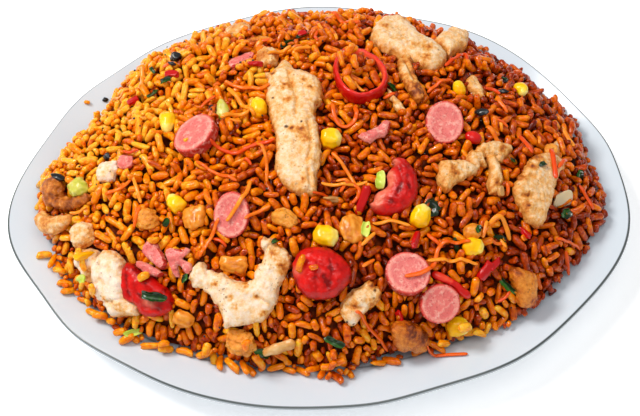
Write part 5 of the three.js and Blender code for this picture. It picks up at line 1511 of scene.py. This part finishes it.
def ground_frame(x, y, yaw, lift):
    """A frame on the food, its Z out of the surface and its X at the heading yaw in plan."""
    span = 2.0 * MM
    steepest = 1.3
    slope = Vector((level(x + span, y) - level(x - span, y),
                    level(x, y + span) - level(x, y - span))) / (2 * span)
    slope *= min(1.0, steepest / max(slope.length, 1e-6))
    out = Vector((-slope.x, -slope.y, 1)).normalized()
    ahead = Vector((math.cos(yaw), math.sin(yaw), 0))
    ahead = (ahead - out * ahead.dot(out)).normalized()
    turned = Matrix((ahead, out.cross(ahead), out)).transposed().to_4x4()
    return Matrix.Translation(Vector((x, y, level(x, y))) + out * lift) @ turned


def whole_bit(vertex):
    """All vertices of the bit that a vertex belongs to."""
    whole, edge_of_it = {vertex}, {vertex}
    while edge_of_it:
        edge_of_it = {edge.other_vert(each) for each in edge_of_it for edge in each.link_edges} - whole
        whole |= edge_of_it
    return list(whole)


def scattered_leaves(name, bits, thickness):
    """One mesh of crumpled leaf bits, each laid on the food."""
    form = bmesh.new()
    tone_layer = form.verts.layers.float.new("tone")
    for x, y, length, width, heading, curl in bits:
        grown = bmesh.ops.create_grid(form, x_segments=8, y_segments=5, size=0.5)["verts"]
        seed = rng.uniform(0, 50)
        for vertex in grown:
            across = vertex.co.y * 2
            crumple = 0.3 * noise.noise(Vector((vertex.co.x * 2.5, across * 1.2, seed)))
            ragged = 1 + 0.4 * noise.noise(Vector((vertex.co.x * 3, across, seed + 9)))
            narrower = math.sqrt(1 - 0.45 * across ** 2), math.sqrt(1 - 0.45 * (2 * vertex.co.x) ** 2)
            wave = length * 0.1 * math.sin(3 * vertex.co.x + seed)
            vertex.co = (vertex.co.x * length * ragged * narrower[0],
                         across * width / 2 * ragged * narrower[1] * (1 - 0.3 * curl * across ** 2),
                         width * (curl * 0.4 * across ** 2 + crumple) + wave)
            vertex.co *= MM
            streak = noise.noise(Vector((seed, across * 0.8, 0))) * 0.5
            vertex[tone_layer] = streak + rng.uniform(0.45, 0.55)
        faces = list({face for vertex in grown for face in vertex.link_faces})
        bmesh.ops.solidify(form, geom=faces, thickness=thickness)
        place = ground_frame(x * MM, y * MM, math.radians(heading), LEAF_LIFT)
        bmesh.ops.transform(form, matrix=place, verts=whole_bit(grown[0]))
    bmesh.ops.recalc_face_normals(form, faces=form.faces)
    return rounded(object_from(form, name), 1)


def fried_leaf(name, stops):
    """Fried leaf: waxy and shiny, veined along, a little light coming through."""
    return cooked_food(name, "tone", cell=2.0, detail=2.0, share=0.5, stops=stops,
                       roughness=0.25, ior=1.45, glow=(0.1, (0.4, 1.0, 0.2), 0.8))


# Dark leek green, nearly black-green in the folds.
leek_green = fried_leaf("fried_leek_green", [(0.45, "#061404"), (0.8, "#16380c"), (1.0, "#376a1a")])
# The pale part of the leaf: bright yellow-green.
leek_lime = fried_leaf("fried_leek_lime", [(0.3, "#8fa81c"), (0.7, "#b9cc3c"), (1.0, "#d6de6e")])
hand_over(scattered_leaves("leek_leaves", LEEK_LEAVES, LEAF_THICKNESS), leek_green, "leek", "rice_heap")
hand_over(scattered_leaves("pale_leek_leaves", PALE_LEAVES, PALE_THICKNESS), leek_lime, "leek", "rice_heap")

# ---- onion bits ----
# Small squares of onion, 4 to 9 mm long, see-through after frying.
# Each bit, in mm and degrees: place, length, width, thickness, heading.
ONION_BITS = [(112, -31, 8.5, 6, 2.5, 10), (3, -38, 5.5, 4.5, 2, 40), (80, -36, 4, 3, 2, 120)]


def scattered_lumps(name, bits, uneven, roundness):
    """One mesh of small rounded blocks, each laid on the food."""
    form = bmesh.new()
    tone_layer = form.verts.layers.float.new("tone")
    for x, y, length, width, thickness, heading in bits:
        grown = bmesh.ops.create_cube(form, size=1)["verts"]
        edges = list({edge for vertex in grown for edge in vertex.link_edges})
        cut = bmesh.ops.subdivide_edges(form, edges=edges, cuts=3, use_grid_fill=True, smooth=roundness)
        grown = whole_bit(next(item for item in cut["geom_inner"] if isinstance(item, bmesh.types.BMVert)))
        seed = Vector((rng.uniform(0, 50), 0, 0))
        tone = rng.uniform(0.2, 0.8)
        for vertex in grown:
            lump = 1 + uneven * noise.noise(vertex.co * 2.2 + seed)
            sized = Vector((vertex.co.x * length, vertex.co.y * width, vertex.co.z * thickness))
            vertex.co = sized * lump * MM
            vertex[tone_layer] = tone
        place = ground_frame(x * MM, y * MM, math.radians(heading), thickness * 0.25 * MM)
        bmesh.ops.transform(form, matrix=place, verts=grown)
    bmesh.ops.recalc_face_normals(form, faces=form.faces)
    return rounded(object_from(form, name), 1)


# Onion cooked clear: pale straw, wet, with light coming through.
clear_onion = cooked_food(
    "clear_onion", "tone", cell=3.333, detail=2.0, share=0.6,
    stops=[(0.3, "#b87a30"), (0.7, "#cf9a58"), (1.0, "#e0c8a0")],
    roughness=0.2, ior=1.4, glow=(0.45, (1.0, 0.7, 0.4), 2.5))
hand_over(scattered_lumps("onion_bits", ONION_BITS, 0.6, 0.2), clear_onion, "onion", "rice_heap")

# ---- red pepper bits ----
# Chopped bits and slivers of the same red pepper, 4 to 11 mm long.
# Each bit is given as the onion bits are.
PEPPER_BITS = [
    (30, -84, 5.5, 2.6, 2, 80), (69, -69, 8, 4, 2.5, 70), (90, -51, 6, 3, 2, 130),
    (38, -60, 8, 2.4, 2, 60), (-66, 45, 6, 3, 2, -25), (-86, 38, 5, 3, 2, 30), (-26, 38, 6, 3, 2, 15),
    (74, -66, 7, 2.4, 2, 40), (-2, 60, 4, 3, 2, 10), (17, -40, 11, 3.6, 3, 62),
]
hand_over(scattered_lumps("pepper_bits", PEPPER_BITS, 0.5, 0.2), pepper_flesh, "pepper", "rice_heap")

# A sliver of yellow pepper, as glossy as the corn, lies over the left lump of chicken.
YELLOW_SLIVER = [(-109, -45, 12, 3.4, 2.4, 60)]
yellow_sliver = scattered_lumps("yellow_pepper_sliver", YELLOW_SLIVER, 0.3, 0.2)
hand_over(yellow_sliver, corn_hull, "pepper", "rice_heap")

# ---- char and peppercorns ----
# A black peppercorn, charred scraps of leaf, and coarse ground pepper.
# Each bit is given as the onion bits are.
CHAR_BITS = [
    (-64, 58, 3.2, 3, 2.8, 0), (-104, 66, 1.6, 1.4, 1.2, 20), (-98, 4, 2.2, 2, 1.4, 60),
    (-48, 16, 2.2, 1.2, 1, 80), (78, 7, 4.2, 2.2, 1.4, -20), (92, 24, 2.8, 1.4, 1, -10),
    (94, 31, 1.4, 1.4, 1, 40), (-122, 0, 4, 2.6, 1.4, -20), (-66, 50, 2.2, 1.2, 1, -10),
]
GROUND_PEPPER = 80
GROUND_SIZES = (0.35, 0.7)
rice_cells = np.argwhere(on_heap & (topping_top < 0))
for _ in range(GROUND_PEPPER):
    i, j = rice_cells[rng.integers(len(rice_cells))]
    size = rng.uniform(*GROUND_SIZES)
    CHAR_BITS.append((map_x[i] / MM, map_y[j] / MM, size, size * 0.8, size * 0.7, rng.uniform(0, 180)))
# Carbon-black and brittle, with a blue-white sheen of oil.
black_char, tree = new_material("black_char")
shader = node(tree, "ShaderNodeBsdfPrincipled", {
    "Base Color": srgb("#0b0a0e"), "Roughness": 0.25, "IOR": 1.6})
node(tree, "ShaderNodeOutputMaterial", {"Surface": shader.outputs[0]})
hand_over(scattered_lumps("char_bits", CHAR_BITS, 0.4, 0.8), black_char, "rice", "rice_heap")

# ---- table, light and camera ----
# A plain white table under soft daylight from the upper left, as in a bright studio.
floor_form = bmesh.new()
TABLE_HALF = 6
TABLE_BELOW = 0.05 * MM
bmesh.ops.create_grid(floor_form, x_segments=1, y_segments=1, size=TABLE_HALF)
bmesh.ops.translate(floor_form, vec=(0, 0, -TABLE_BELOW), verts=floor_form.verts)
table = object_from(floor_form, "table")
table_white, tree = new_material("white_table")
shader = node(tree, "ShaderNodeBsdfPrincipled", {
    "Base Color": srgb("#fbfbfb"), "Roughness": 0.9,
    "Emission Color": srgb("#ffffff"), "Emission Strength": 0.25})
node(tree, "ShaderNodeOutputMaterial", {"Surface": shader.outputs[0]})
table.data.materials.append(table_white)

scene = bpy.context.scene
scene.view_settings.view_transform = "Standard"
world = bpy.data.worlds.new("studio")
scene.world = world
world.use_nodes = True
world.node_tree.nodes["Background"].inputs["Color"].default_value = srgb("#ffffff")
world.node_tree.nodes["Background"].inputs["Strength"].default_value = 0.37

TARGET = Vector((1.94, -1.29, 24)) * MM  # what the camera and the lights face


def softbox(name, direction, distance, size, power, colour):
    """A square studio light that faces the food."""
    light = bpy.data.lights.new(name, "AREA")
    light.shape = "RECTANGLE"
    light.size, light.size_y = size
    light.energy = power
    light.color = srgb(colour)[:3]
    lamp = bpy.data.objects.new(name, light)
    lamp.location = TARGET + Vector(direction).normalized() * distance
    lamp.rotation_euler = Vector(direction).to_track_quat("Z", "Y").to_euler()
    scene.collection.objects.link(lamp)


softbox("window", (-0.68, 0.2, 1.15), 1.2, (0.35, 0.35), 10.8, "#fffdf8")
softbox("overhead", (0.1, -0.35, 1.2), 1.3, (0.9, 0.9), 6, "#ffffff")

# The camera was fitted to the platter's oval and the heap's outline in the photo. Its sizes are in
# pixels of the photo.
CAMERA_BACK = Vector((-0.04999, -0.57139, 0.81915))
CAMERA_DISTANCE = 643.69 * MM
FOCAL_PIXELS = 1320.15
PRINCIPAL_POINT = Vector((321.5, 187.7))
FRAME_SIZE = Vector((640, 416))
camera_data = bpy.data.cameras.new("camera")
camera_data.sensor_width = 36
camera_data.lens = FOCAL_PIXELS / FRAME_SIZE.x * camera_data.sensor_width
camera_data.shift_x = (FRAME_SIZE.x / 2 - PRINCIPAL_POINT.x) / FRAME_SIZE.x
camera_data.shift_y = (PRINCIPAL_POINT.y - FRAME_SIZE.y / 2) / FRAME_SIZE.x
camera = bpy.data.objects.new("camera", camera_data)
camera.location = TARGET + CAMERA_BACK * CAMERA_DISTANCE
CAMERA_RIGHT = Vector((0.99619, -0.08716, 0))
up = CAMERA_BACK.cross(CAMERA_RIGHT)
camera.rotation_euler = Matrix((CAMERA_RIGHT, up, CAMERA_BACK)).transposed().to_euler()
scene.collection.objects.link(camera)
scene.camera = camera
